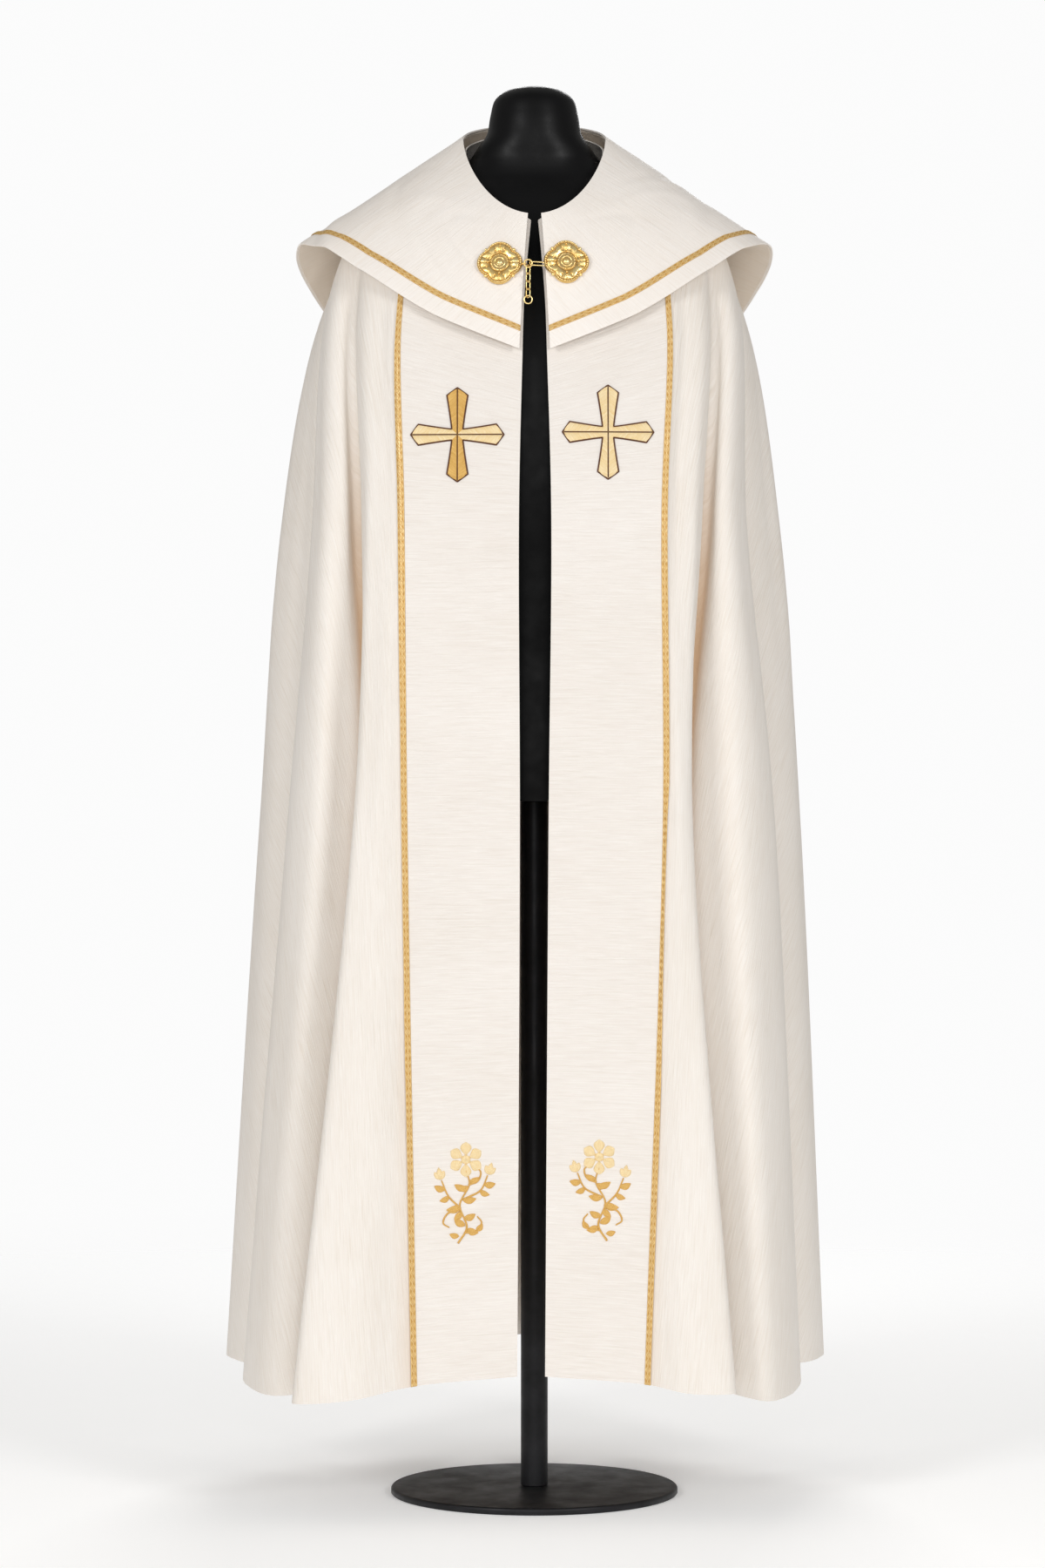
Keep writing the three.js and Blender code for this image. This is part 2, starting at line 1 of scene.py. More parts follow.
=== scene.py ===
# %% [markdown]
# # A cope on its dress form
# A cope is a half circle of cloth worn like a cloak. Its straight edge hangs open in front, under two stiffer
# bands called orphreys, and a small cape covers the shoulders. We load the frame that already holds every part at
# its real size, and then give each part the surface that the real one has.

# %% Load the frame
import math

import bmesh
import bpy
import numpy as np
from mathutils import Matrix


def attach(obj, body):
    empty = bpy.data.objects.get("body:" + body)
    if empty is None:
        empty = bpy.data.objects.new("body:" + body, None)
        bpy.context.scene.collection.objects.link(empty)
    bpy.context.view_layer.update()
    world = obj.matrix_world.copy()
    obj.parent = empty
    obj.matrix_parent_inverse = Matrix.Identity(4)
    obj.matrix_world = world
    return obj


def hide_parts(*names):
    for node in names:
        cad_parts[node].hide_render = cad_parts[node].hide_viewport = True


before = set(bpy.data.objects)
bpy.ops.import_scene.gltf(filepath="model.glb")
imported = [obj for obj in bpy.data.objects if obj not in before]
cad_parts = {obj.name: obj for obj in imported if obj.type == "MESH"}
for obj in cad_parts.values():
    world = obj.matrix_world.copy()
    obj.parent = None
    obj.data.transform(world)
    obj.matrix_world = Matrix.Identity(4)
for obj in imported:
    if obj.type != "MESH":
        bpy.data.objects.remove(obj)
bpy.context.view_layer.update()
MM = 0.001

# %% [markdown]
# ## The camera
# The cope is looked at level, from five metres in front of its bands, a little left of the middle. A 100 mm lens
# at that distance keeps the shoulders and the hem in proportion.

# %% Place the camera
CAMERA_PLACE = (-0.014, -5.17, 0.84)
camera_data = bpy.data.cameras.new("camera")
camera_data.lens = 100
camera_data.sensor_width = 36
camera = bpy.data.objects.new("camera", camera_data)
camera.location = CAMERA_PLACE
camera.rotation_euler = (math.pi / 2, 0, 0)
bpy.context.scene.collection.objects.link(camera)
bpy.context.scene.camera = camera
bpy.context.scene.view_settings.view_transform = "Standard"
print("camera at", CAMERA_PLACE)

# %% [markdown]
# ## Meshes from arrays
# Every new piece is a grid of points worked out in one numpy array, with its columns first and its rows second.
# These helpers turn such grids into meshes: an open skin, a closed wall of cloth between two skins, and a tube.

# %% Mesh helpers
def grid_quads(columns, rows, wrap=False):
    """Corner numbers of every square of a grid, where point (c, r) has the number c * rows + r."""
    c, r = np.meshgrid(np.arange(columns if wrap else columns - 1), np.arange(rows - 1), indexing="ij")
    after = (c + 1) % columns
    return np.stack([c * rows + r, c * rows + r + 1, after * rows + r + 1, after * rows + r], -1).reshape(-1, 4)


def join_parts(parts):
    """One list of points, faces and grain coordinates from several, with the faces' numbers moved along."""
    starts = np.cumsum([0] + [len(part["points"]) for part in parts[:-1]])
    joined = {"quads": np.concatenate([part["quads"] + start for part, start in zip(parts, starts)])}
    for key in set(parts[0]) - {"quads"}:
        joined[key] = np.concatenate([part[key] for part in parts])
    return joined


def weld(mesh):
    """Makes one point of those that lie together, as at the middle of a turned part, so that poles are closed."""
    shell = bmesh.new()
    shell.from_mesh(mesh)
    bmesh.ops.remove_doubles(shell, verts=shell.verts, dist=1e-7)
    shell.to_mesh(mesh)
    shell.free()


def make_piece(name, part, material, body="root", stands_for=(), sharp=None, poles=False):
    """Puts a part's points and quads into a mesh, with its grain coordinates and values, and rides it on a body."""
    points = np.asarray(part["points"], dtype=np.float32)
    quads = np.asarray(part["quads"], dtype=np.int32)
    mesh = bpy.data.meshes.new(name)
    mesh.vertices.add(len(points))
    mesh.vertices.foreach_set("co", points.ravel())
    mesh.loops.add(quads.size)
    mesh.loops.foreach_set("vertex_index", quads.ravel())
    mesh.polygons.add(len(quads))
    mesh.polygons.foreach_set("loop_start", np.arange(0, quads.size, 4, dtype=np.int32))
    mesh.polygons.foreach_set("use_smooth", np.ones(len(quads), dtype=bool))
    mesh.update(calc_edges=True)
    if "grain" in part:
        layer = mesh.uv_layers.new(name="grain")
        layer.data.foreach_set("uv", part["grain"].astype(np.float32)[quads.ravel()].ravel())
    if "relief" in part:
        attribute = mesh.attributes.new("relief", "FLOAT", "POINT")
        attribute.data.foreach_set("value", part["relief"].astype(np.float32).ravel())
    if poles:
        weld(mesh)
    if sharp is not None:
        mesh.set_sharp_from_angle(angle=math.radians(sharp))
    piece = bpy.data.objects.new(name, mesh)
    bpy.context.scene.collection.objects.link(piece)
    mesh.materials.append(material)
    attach(piece, body)
    if stands_for:
        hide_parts(*stands_for)
    mesh.calc_loop_triangles()
    print(f"{name}: {len(mesh.loop_triangles)} triangles")
    return piece


def unit(vectors):
    """Each vector divided by its own length."""
    return vectors / np.maximum(np.linalg.norm(vectors, axis=-1, keepdims=True), 1e-12)


def lengths_along(line):
    """The distance along a line of points from its first point to each of them."""
    return np.concatenate([[0], np.cumsum(np.linalg.norm(np.diff(line, axis=0), axis=-1))])


def outward_of(net):
    """The direction out of a net at each point: its slope round the piece crossed with its slope down."""
    return unit(np.cross(np.gradient(net, axis=0), np.gradient(net, axis=1)))


def wall(outer, inner, grain=None, relief=None):
    """A closed wall between an outer and an inner net: two skins, and a strip all round between their edges."""
    columns, rows = outer.shape[:2]
    skin = grid_quads(columns, rows)
    number = np.arange(columns * rows).reshape(columns, rows)
    rim = np.concatenate([number[0, :], number[1:, -1], number[-1, -2::-1], number[-2:0:-1, 0]])
    after = np.roll(rim, -1)
    strip = np.stack([rim, rim + columns * rows, after + columns * rows, after], -1)
    part = {"points": np.concatenate([outer.reshape(-1, 3), inner.reshape(-1, 3)]),
            "quads": np.concatenate([skin[:, ::-1], skin + columns * rows, strip[:, ::-1]])}
    if grain is not None:
        part["grain"] = np.concatenate([grain.reshape(-1, 2)] * 2)
    if relief is not None:
        part["relief"] = np.concatenate([relief.ravel()] * 2)
    return part


def tube(path, radius, sides=12, closed=False, up=(0, 0, 1), shape=None):
    """A tube round a path: at each point a ring of the given radius, square to the path. shape multiplies it."""
    path = np.asarray(path, dtype=float)
    along = unit(np.roll(path, -1, 0) - np.roll(path, 1, 0)) if closed else unit(np.gradient(path, axis=0))
    side = unit(np.cross(along, np.broadcast_to(np.asarray(up, dtype=float), along.shape)))
    lift = np.cross(side, along)
    turn = np.linspace(0, 2 * np.pi, sides, endpoint=False)
    size = radius * (np.ones(len(path)) if shape is None else shape)[:, None, None]
    ring = side[:, None] * np.cos(turn)[None, :, None] + lift[:, None] * np.sin(turn)[None, :, None]
    points = path[:, None] + ring * size
    if not closed:
        points = np.concatenate([np.repeat(path[:1, None], sides, 1), points, np.repeat(path[-1:, None], sides, 1)])
    count = len(points)
    c, r = np.meshgrid(np.arange(count if closed else count - 1), np.arange(sides), indexing="ij")
    next_c, next_r = (c + 1) % count, (r + 1) % sides
    quads = np.stack([c * sides + r, next_c * sides + r, next_c * sides + next_r, c * sides + next_r], -1)
    length = np.linalg.norm(np.roll(points, 1, 0) - points, axis=-1).mean(axis=1)
    length[0] = 0
    grain = np.stack(np.broadcast_arrays(np.cumsum(length)[:, None], turn[None] * radius), -1)
    return {"points": points.reshape(-1, 3), "quads": quads.reshape(-1, 4), "grain": grain.reshape(-1, 2)}

# %% [markdown]
# ## Smooth lines
# Cloth has no corners, so the lines that a fold follows are joined by a centripetal curve: it passes through every
# point, and leaves each in the direction of its neighbours, without the loops that a plain spline makes.

# %% A smooth line through points
def smooth_line(points, places):
    """The curve through points (..., n, 3) at places counted in points: 2.5 is halfway from point 2 to point 3.
    Each stretch is a cubic whose end slopes come from the neighbours, weighed by the square roots of distances."""
    points = np.asarray(points, dtype=float)
    before = 2 * points[..., :1, :] - points[..., 1:2, :]
    beyond = 2 * points[..., -1:, :] - points[..., -2:-1, :]
    knots = np.concatenate([before, points, beyond], axis=-2)
    places = np.asarray(places, dtype=float)
    start = np.clip(np.floor(places).astype(int), 0, points.shape[-2] - 2)
    w = (places - start)[:, None]
    p0, p1, p2, p3 = (knots[..., start + k, :] for k in range(4))
    d0, d1, d2 = (np.maximum(np.sqrt(np.linalg.norm(b - a, axis=-1, keepdims=True)), 1e-4)
                  for a, b in ((p0, p1), (p1, p2), (p2, p3)))
    m1 = ((p1 - p0) / d0 - (p2 - p0) / (d0 + d1) + (p2 - p1) / d1) * d1
    m2 = ((p2 - p1) / d1 - (p3 - p1) / (d1 + d2) + (p3 - p2) / d2) * d1
    return p1 + m1 * w + (-3 * p1 + 3 * p2 - 2 * m1 - m2) * w**2 + (2 * p1 - 2 * p2 + m1 + m2) * w**3


def smooth_step(x):
    """0 below 0 and 1 above 1, with an even S between them."""
    x = np.clip(x, 0, 1)
    return x * x * (3 - 2 * x)

# %% [markdown]
# ## Finishes
# Each finish is a Principled surface fed by small node groups that are built once. Cloth and thread read the
# piece's own grain coordinates, which are metres of flat cloth, so the weave turns with the cut of the cloth.

# %% Node helpers and colours
def linear(code):
    """A colour written as six hex digits, as the linear numbers that a shader takes."""
    channels = np.array([int(code[k:k + 2], 16) for k in (0, 2, 4)]) / 255
    values = np.where(channels <= 0.04045, channels / 12.92, ((channels + 0.055) / 1.055) ** 2.4)
    return (*values.tolist(), 1.0)


def start_group(name, inputs, outputs):
    """A new node group with its sockets. Each input is (name, kind, first value), and each output (name, kind)."""
    group = bpy.data.node_groups.new(name, "ShaderNodeTree")
    for label, kind, value in inputs:
        socket = group.interface.new_socket(label, in_out="INPUT", socket_type=f"NodeSocket{kind}")
        if value is not None:
            socket.default_value = value
    for label, kind in outputs:
        group.interface.new_socket(label, in_out="OUTPUT", socket_type=f"NodeSocket{kind}")
    return group, group.nodes.new("NodeGroupInput"), group.nodes.new("NodeGroupOutput")


def add_node(tree, kind, links=(), **settings):
    """A node with its settings and plain socket values, and links as (socket number or name, source)."""
    node = tree.nodes.new(f"ShaderNode{kind}")
    for key, value in settings.items():
        if key.startswith("in_"):
            node.inputs[int(key[3:])].default_value = value
        else:
            setattr(node, key, value)
    for socket, source in links:
        tree.links.new(source, node.inputs[socket])
    return node


def streaks(tree, vector, scale, detail=2.0, rough=0.55):
    """Noise stretched by a scale for each direction, so that it draws long streaks along the first one."""
    mapping = add_node(tree, "Mapping", [(0, vector)], in_3=scale)
    return add_node(tree, "TexNoise", [(0, mapping.outputs[0])], in_2=1.0, in_3=detail, in_4=rough).outputs[0]


def ramp(tree, source, low, high):
    """A value stretched so that low becomes 0 and high becomes 1."""
    return add_node(tree, "MapRange", [(0, source)], in_1=low, in_2=high).outputs[0]


def math_node(tree, operation, a, b):
    """One sum on two values, each a source or a plain number."""
    node = add_node(tree, "Math", operation=operation)
    for number, value in enumerate((a, b)):
        if isinstance(value, (int, float)):
            node.inputs[number].default_value = value
        else:
            tree.links.new(value, node.inputs[number])
    return node.outputs[0]


def mix_colours(tree, factor, a, b):
    """Colour a where the factor is 0 and colour b where it is 1."""
    node = add_node(tree, "Mix", data_type="RGBA")
    for number, value in ((0, factor), (6, a), (7, b)):
        if isinstance(value, (int, float, tuple)):
            node.inputs[number].default_value = value
        else:
            tree.links.new(value, node.inputs[number])
    return node.outputs[2]

# %% [markdown]
# ## The weave
# The cloth is a satin with slubs: a thicker thread here and there that catches the light. Noise stretched along the
# grain draws such streaks at any size, and the streaks never repeat. One group serves
# cloth, bands and lining.

# %% Node group: slubbed weave
def slub_weave_group():
    """Long uneven slubs along the grain, fine threads both ways, and a slow change of tone over the cloth."""
    group, source, sink = start_group(
        "slub weave",
        [("Grain", "Vector", None), ("Light", "Color", None), ("Shade", "Color", None), ("Slub", "Float", 0.5)],
        [("Colour", "Color"), ("Roughness", "Float"), ("Height", "Float")])
    grain = source.outputs["Grain"]
    slub = ramp(group, streaks(group, grain, (26, 620, 1), 3.0), 0.44, 0.74)
    dark = ramp(group, streaks(group, grain, (20, 430, 1), 2.0), 0.5, 0.8)
    thread = streaks(group, grain, (160, 2400, 1), 1.0)
    weft = streaks(group, grain, (1900, 120, 1), 1.0)
    tone = streaks(group, grain, (3, 9, 1), 2.0)
    slub_amount = math_node(group, "MULTIPLY", slub, source.outputs["Slub"])
    dark_amount = math_node(group, "MULTIPLY", dark, source.outputs["Slub"])
    wash = math_node(group, "MULTIPLY", ramp(group, tone, 0.3, 0.75), 0.35)
    shade = math_node(group, "ADD", math_node(group, "MULTIPLY", dark_amount, 0.7), wash)
    base = mix_colours(group, shade, source.outputs["Light"], source.outputs["Shade"])
    bright = mix_colours(group, math_node(group, "MULTIPLY", slub_amount, 0.5), base, (1, 0.985, 0.95, 1))
    rough = math_node(group, "ADD", math_node(group, "MULTIPLY", slub_amount, -0.16), 0.62)
    threads = math_node(group, "MULTIPLY", math_node(group, "ADD", thread, weft), 0.35)
    height = math_node(group, "ADD", threads, math_node(group, "SUBTRACT", slub_amount, dark_amount))
    group.links.new(bright, sink.inputs["Colour"])
    group.links.new(rough, sink.inputs["Roughness"])
    group.links.new(height, sink.inputs["Height"])
    return group


# %% [markdown]
# ## Shining thread
# Braid and satin stitch are metallic threads laid side by side. A sine wave across them makes the furrows, bumped and
# darkened with painted shade, and a little noise on its argument keeps the threads from running like ruled lines.

# %% Node group: laid thread
def laid_thread_group():
    """Parallel shining threads laid side by side along the grain, with painted shade in the furrows between them."""
    group, source, sink = start_group(
        "laid thread",
        [("Grain", "Vector", None), ("Light", "Color", None), ("Shade", "Color", None),
         ("Threads", "Float", 1400.0)],
        [("Colour", "Color"), ("Roughness", "Float"), ("Height", "Float")])
    split = add_node(group, "SeparateXYZ", [(0, source.outputs["Grain"])])
    wobble = streaks(group, source.outputs["Grain"], (60, 500, 1), 2.0)
    turns = math_node(group, "ADD", math_node(group, "MULTIPLY", split.outputs[1], source.outputs["Threads"]),
                      math_node(group, "MULTIPLY", wobble, 3.0))
    wave = math_node(group, "SINE", math_node(group, "MULTIPLY", turns, 2 * math.pi), 0.0)
    furrow = ramp(group, wave, -1.0, 0.4)
    patch = ramp(group, streaks(group, source.outputs["Grain"], (90, 260, 1), 2.0), 0.3, 0.7)
    patch_light = math_node(group, "ADD", math_node(group, "MULTIPLY", patch, 0.55), 0.45)
    lit = math_node(group, "MULTIPLY", patch_light, furrow)
    # Painted shade: the furrows take the Shade colour.
    colour = mix_colours(group, lit, source.outputs["Shade"], source.outputs["Light"])
    rough = math_node(group, "SUBTRACT", 0.6, math_node(group, "MULTIPLY", lit, 0.24))
    group.links.new(colour, sink.inputs["Colour"])
    group.links.new(rough, sink.inputs["Roughness"])
    group.links.new(furrow, sink.inputs["Height"])
    return group


# %% [markdown]
# ## Handled surfaces
# Metal, leather and paint are never quite even: their gloss changes in soft blotches where hands have been, and the
# surface has fine pits. Both come from noise on the object's own coordinates.

# %% Node group: worn surface
def wear_group():
    """Soft blotches in several sizes and fine pits for metal, leather and paint, on Object coordinates."""
    group, source, sink = start_group(
        "wear",
        [("Place", "Vector", None), ("Light", "Color", None), ("Shade", "Color", None), ("Size", "Float", 60.0),
         ("Rough low", "Float", 0.2), ("Rough high", "Float", 0.5)],
        [("Colour", "Color"), ("Roughness", "Float"), ("Height", "Float")])
    place = source.outputs["Place"]
    size = source.outputs["Size"]
    blotch = add_node(group, "TexNoise", [(0, place), (2, size)], in_3=4.0, in_4=0.6).outputs[0]
    pits = add_node(group, "TexVoronoi", [(0, place), (2, math_node(group, "MULTIPLY", size, 12.0))])
    factor = ramp(group, blotch, 0.3, 0.72)
    rough = add_node(group, "MapRange",
                     [(0, factor), (3, source.outputs["Rough low"]), (4, source.outputs["Rough high"])])
    colour = mix_colours(group, factor, source.outputs["Light"], source.outputs["Shade"])
    group.links.new(colour, sink.inputs["Colour"])
    group.links.new(rough.outputs[0], sink.inputs["Roughness"])
    group.links.new(math_node(group, "ADD", math_node(group, "MULTIPLY", blotch, 0.6), pits.outputs[0]),
                    sink.inputs["Height"])
    return group


slub_weave = slub_weave_group()
laid_thread = laid_thread_group()
wear = wear_group()
print("node groups:", [group.name for group in (slub_weave, laid_thread, wear)])

# %% [markdown]
# ## From a group to a material
# A group only gives colour, roughness and height. The Principled surface itself stays in the material, with its
# constants on its own sockets, so that one function can make every finish from a group and a few values.

# %% Make one material from a node group
def finish(name, group, values, bump, shader=None, grain=True, relief=None):
    """A material whose Principled surface takes its colour, roughness and bump from a group. Where a dark colour is
    given, the piece's own attribute mixes it in as painted shade over its low places, fully where the attribute is 0."""
    material = bpy.data.materials.new(name)
    material.use_nodes = True
    tree = material.node_tree
    surface = tree.nodes["Principled BSDF"]
    effect = tree.nodes.new("ShaderNodeGroup")
    effect.node_tree = group
    if grain:
        place = add_node(tree, "UVMap", uv_map="grain").outputs[0]
    else:
        place = add_node(tree, "TexCoord").outputs["Object"]
    tree.links.new(place, effect.inputs[0])
    for key, value in values.items():
        effect.inputs[key].default_value = value
    colour = effect.outputs["Colour"]
    if relief is not None:
        # Painted shade: the piece's attribute is 1 where it is lit and 0 where the dark colour stands in for shade.
        painted_light_level = add_node(tree, "Attribute", attribute_name="relief").outputs["Fac"]
        colour = mix_colours(tree, painted_light_level, relief, colour)
    tree.links.new(colour, surface.inputs["Base Color"])
    tree.links.new(effect.outputs["Roughness"], surface.inputs["Roughness"])
    bumps = add_node(tree, "Bump", [("Height", effect.outputs["Height"])])
    bumps.inputs["Strength"].default_value = bump[0]
    bumps.inputs["Distance"].default_value = bump[1]
    tree.links.new(bumps.outputs[0], surface.inputs["Normal"])
    for key, value in (shader or {}).items():
        surface.inputs[key].default_value = value
    return material


# The capelet's ivory is the mantle's cloth painted lighter: painted light for its upward slope.
capelet_ivory_painted_light = finish("ivory_cloth", slub_weave, {"Light": linear("F8F1EA"), "Shade": linear("EBE0D3"), "Slub": 0.7},
               (0.45, 0.0006), {"Sheen Weight": 0.08, "Sheen Roughness": 0.4, "Specular IOR Level": 0.4})
# The mantle's dark tan relief colour is painted shade for its deep folds.
mantle_ivory = finish("mantle_cloth", slub_weave,
                      {"Light": linear("F0E9E1"), "Shade": linear("E0D5C7"), "Slub": 0.7},
                      (0.45, 0.0006), {"Sheen Weight": 0.08, "Sheen Roughness": 0.4, "Specular IOR Level": 0.4},
                      relief=linear("C8A276"))
band_ivory = finish("band_cloth", slub_weave, {"Light": linear("EDE6DF"), "Shade": linear("DFD5CA"), "Slub": 0.6},
                    (0.5, 0.0006), {"Sheen Weight": 0.08, "Sheen Roughness": 0.35, "Specular IOR Level": 0.5})
lining = finish("beige_lining", slub_weave, {"Light": linear("F3E7D8"), "Shade": linear("E0CFB9"), "Slub": 0.35},
                (0.3, 0.0004), {"Sheen Weight": 0.3, "Sheen Roughness": 0.35, "Specular IOR Level": 0.5})
# The braid's dark gold relief colour is painted shade for its hollows.
braid_gold = finish("gold_braid", laid_thread,
                    {"Light": linear("FFEFBE"), "Shade": linear("FAD584"), "Threads": 1300.0},
                    (0.6, 0.0003), {"Metallic": 0.25, "Specular IOR Level": 0.6}, relief=linear("C99340"))
stitch_light = finish("gold_stitch_light", laid_thread,
                      {"Light": linear("FFEFCB"), "Shade": linear("F0CC83"), "Threads": 1100.0},
                      (0.6, 0.0003), {"Metallic": 0.15, "Specular IOR Level": 0.6})
stitch_dark = finish("gold_stitch_dark", laid_thread,
                     {"Light": linear("F2C874"), "Shade": linear("CE9840"), "Threads": 1100.0},
                     (0.6, 0.0003), {"Metallic": 0.15, "Specular IOR Level": 0.6})
stitch_brown = finish("brown_stitch", laid_thread,
                      {"Light": linear("6E4228"), "Shade": linear("432415"), "Threads": 900.0},
                      (0.5, 0.0003), {"Specular IOR Level": 0.3})
# The gilt's dark relief colour is painted shade for the castings' low places.
gilt = finish("gilt_metal", wear,
              {"Light": linear("FFEBB0"), "Shade": linear("FBD27A"), "Size": 90.0, "Rough low": 0.24,
               "Rough high": 0.4},
              (0.12, 0.0003), {"Metallic": 0.9}, grain=False, relief=linear("B9822F"))
black_cover = finish("black_cover", wear,
                     {"Light": linear("0C0C0D"), "Shade": linear("060607"), "Size": 40.0, "Rough low": 0.36,
                      "Rough high": 0.5},
                     (0.08, 0.0004), {"Specular IOR Level": 0.14}, grain=False)
black_steel = finish("black_steel", wear,
                     {"Light": linear("242427"), "Shade": linear("151517"), "Size": 25.0, "Rough low": 0.38,
                      "Rough high": 0.55},
                     (0.1, 0.0003), {"Metallic": 0.5}, grain=False)
print("finishes:", len(bpy.data.materials))

# %% [markdown]
# ## The sizes of the cope
# These lengths, in millimetres, are the ones the solid parts were made with, so that each surface lies where its
# solid does. Bearings are seen from above: 0 is the front, 90 the viewer's left, and 180 the back.

# %% Shared sizes
GAP, MANTLE_WALL, BAND_WALL, BRAID_WALL = 0.3, 1.5, 1.2, 1.2
BRAID_HALF_WIDTH = 3.6
CAPELET_WALL, LINING_WALL, LINING_TRIM = 2.0, 1.0, 3.0
MANTLE_UNDER_CAPELET = 13
NECK = {"half": 84, "front": 118, "back": 75, "shoulder_z": 1605, "front_drop": 104, "back_rise": 28, "opening": 5.2}
CAPELET_HEM = {"half": 282, "front": 158, "back": 235, "opening": 3.6}
CAPELET_HEM_HEIGHTS = np.array([
    (0, 1334), (24, 1381), (48, 1442), (60, 1466), (76, 1475),
    (90, 1463), (104, 1440), (130, 1370), (155, 1312), (180, 1293)], dtype=float)
CROWN_FRONT, CROWN_SIDE, CROWN_BACK = 3, 4, 8
BRAID_INSET = 24

# %% [markdown]
# ## The slope of the shoulders
# Mantle and capelet hang from the neckline over the same slope. It is worked out once, as straight lines from an oval
# neckline to an oval hem with a slight crown, so everything laid on it later keeps its distance.

# %% The shoulders' slope
def on_oval(oval, bearing):
    """x is minus the half width times the sine, y minus the front or back depth times the cosine."""
    forward = np.cos(np.radians(bearing))
    depth = np.where(forward > 0, oval["front"], oval["back"])
    return -oval["half"] * np.sin(np.radians(bearing)), -depth * forward


def neck_point(bearing):
    """The neckline: on its oval, lower in front by the cosine to the power 1.2, and higher behind."""
    x, y = on_oval(NECK, bearing)
    forward = np.cos(np.radians(bearing))
    drop = NECK["front_drop"] * np.maximum(forward, 0) ** 1.2 + NECK["back_rise"] * np.minimum(forward, 0)
    return np.stack([x, y, NECK["shoulder_z"] - drop], -1)


def capelet_hem_point(bearing):
    """The capelet's hem: on its oval, at the height of the smooth line through the listed heights."""
    x, y = on_oval(CAPELET_HEM, bearing)
    from_front = np.where(bearing > 180, 360 - bearing, bearing)
    place = np.interp(from_front, CAPELET_HEM_HEIGHTS[:, 0], np.arange(len(CAPELET_HEM_HEIGHTS)))
    line = np.insert(CAPELET_HEM_HEIGHTS, 1, 0, axis=1)
    return np.stack([x, y, smooth_line(line, place.ravel())[:, 2].reshape(x.shape)], -1)


def slope_point(neck_bearing, hem_bearing, down, lift=0.0):
    """A straight line from the neckline (down = 0) to the capelet's hem (down = 1), bowed out by a half sine wave
    and moved out by lift, square to the line."""
    top = neck_point(neck_bearing)
    slope = capelet_hem_point(hem_bearing) - top
    run = np.hypot(slope[..., 0], slope[..., 1])
    out = unit(np.stack([slope[..., 0] * -slope[..., 2] / run, slope[..., 1] * -slope[..., 2] / run, run], -1))
    end = np.where(np.cos(np.radians(hem_bearing)) > 0, CROWN_FRONT, CROWN_BACK)
    side = np.sin(np.radians(hem_bearing)) ** 2
    crown = (end + (CROWN_SIDE - end) * side) * np.sin(np.pi * down**0.8)
    return top + slope * down[..., None] + out * (crown + lift)[..., None]

# %% [markdown]
# ## Small creases
# Besides its big folds, hanging cloth has many faint troughs and ridges, no two alike. Each is one row of a table,
# and is added to the surface as a soft bell across and a half wave along.

# %% Creases laid on a net
def crease_depths(net, columns, rows, creases):
    """How far each point moves out. A crease is (column, row) at its top, the same at its foot, its depth in
    millimetres, below 0 for a trough, and its half width. Across, it is a bell curve measured along the cloth;
    along, it fades in and out as a half sine wave."""
    stretch = np.linalg.norm(np.gradient(net, columns, axis=0), axis=-1)
    out = np.zeros(net.shape[:2])
    for top_column, top_row, foot_column, foot_row, depth, half_width in creases:
        part = (rows - top_row) / (foot_row - top_row)
        middle = top_column + (foot_column - top_column) * part + 0.06 * np.sin(5 * part + top_column * 3)
        fade = np.sin(np.pi * np.clip(part, 0, 1)) ** 0.8
        across = (columns[:, None] - middle[None]) * stretch
        out += depth * np.exp(-((across / half_width) ** 2)) * fade[None]
    return out

# %% [markdown]
# ## The mantle
# The mantle is the half circle itself. Hung from the shoulders it falls in pipes: flat panels under the bands, one
# big fold at each side, and seven pipes at the back. Each fold is a line with a place at the neckline, shoulder,
# arm, chest, waist and hem, and one smooth surface runs through all the lines.

# %% The lines that the folds follow
CHEST_Z, WAIST_Z, DEEP_HEM_Z = 1150, 800, 142
SHOULDER_PARTS = (0.02, 0.32, 0.62)
ARM_PART, ARM_SWELL_FRONT, ARM_SWELL_SIDE = 0.28, 4, 22

# neck bearing, shoulder bearing, chest x y, waist x y, hem x y z
LEFT_FOLDS = np.array([
    (5, 4, -18, -166, -17, -170, -20, -170, 160),
    (48, 45, -153, -160, -150, -168, -139, -173, 149),
    (53, 50, -170, -157, -177, -172, -212, -200, 136),
    (58, 56, -186, -148, -202, -162, -273, -188, 131),
    (63, 62, -198, -137, -202, -140, -262, -156, 134),
    (68, 67, -206, -112, -190, -110, -184, -96, 140),
    (72, 71, -217, -116, -212, -106, -236, -114, 138),
    (76, 76, -236, -112, -254, -114, -300, -130, 132),
    (81, 82, -256, -76, -288, -58, -341, -40, 137),
    (85, 87, -255, -50, -279, -22, -324, 14, 140),
    (89, 91, -250, -26, -248, 0, -226, 34, 142),
    (92, 95, -266, -4, -275, 30, -276, 72, 141),
    (96, 99, -284, 24, -314, 68, -346, 104, 139),
    (100, 104, -299, 72, -330, 130, -373, 190, 141)], dtype=float)
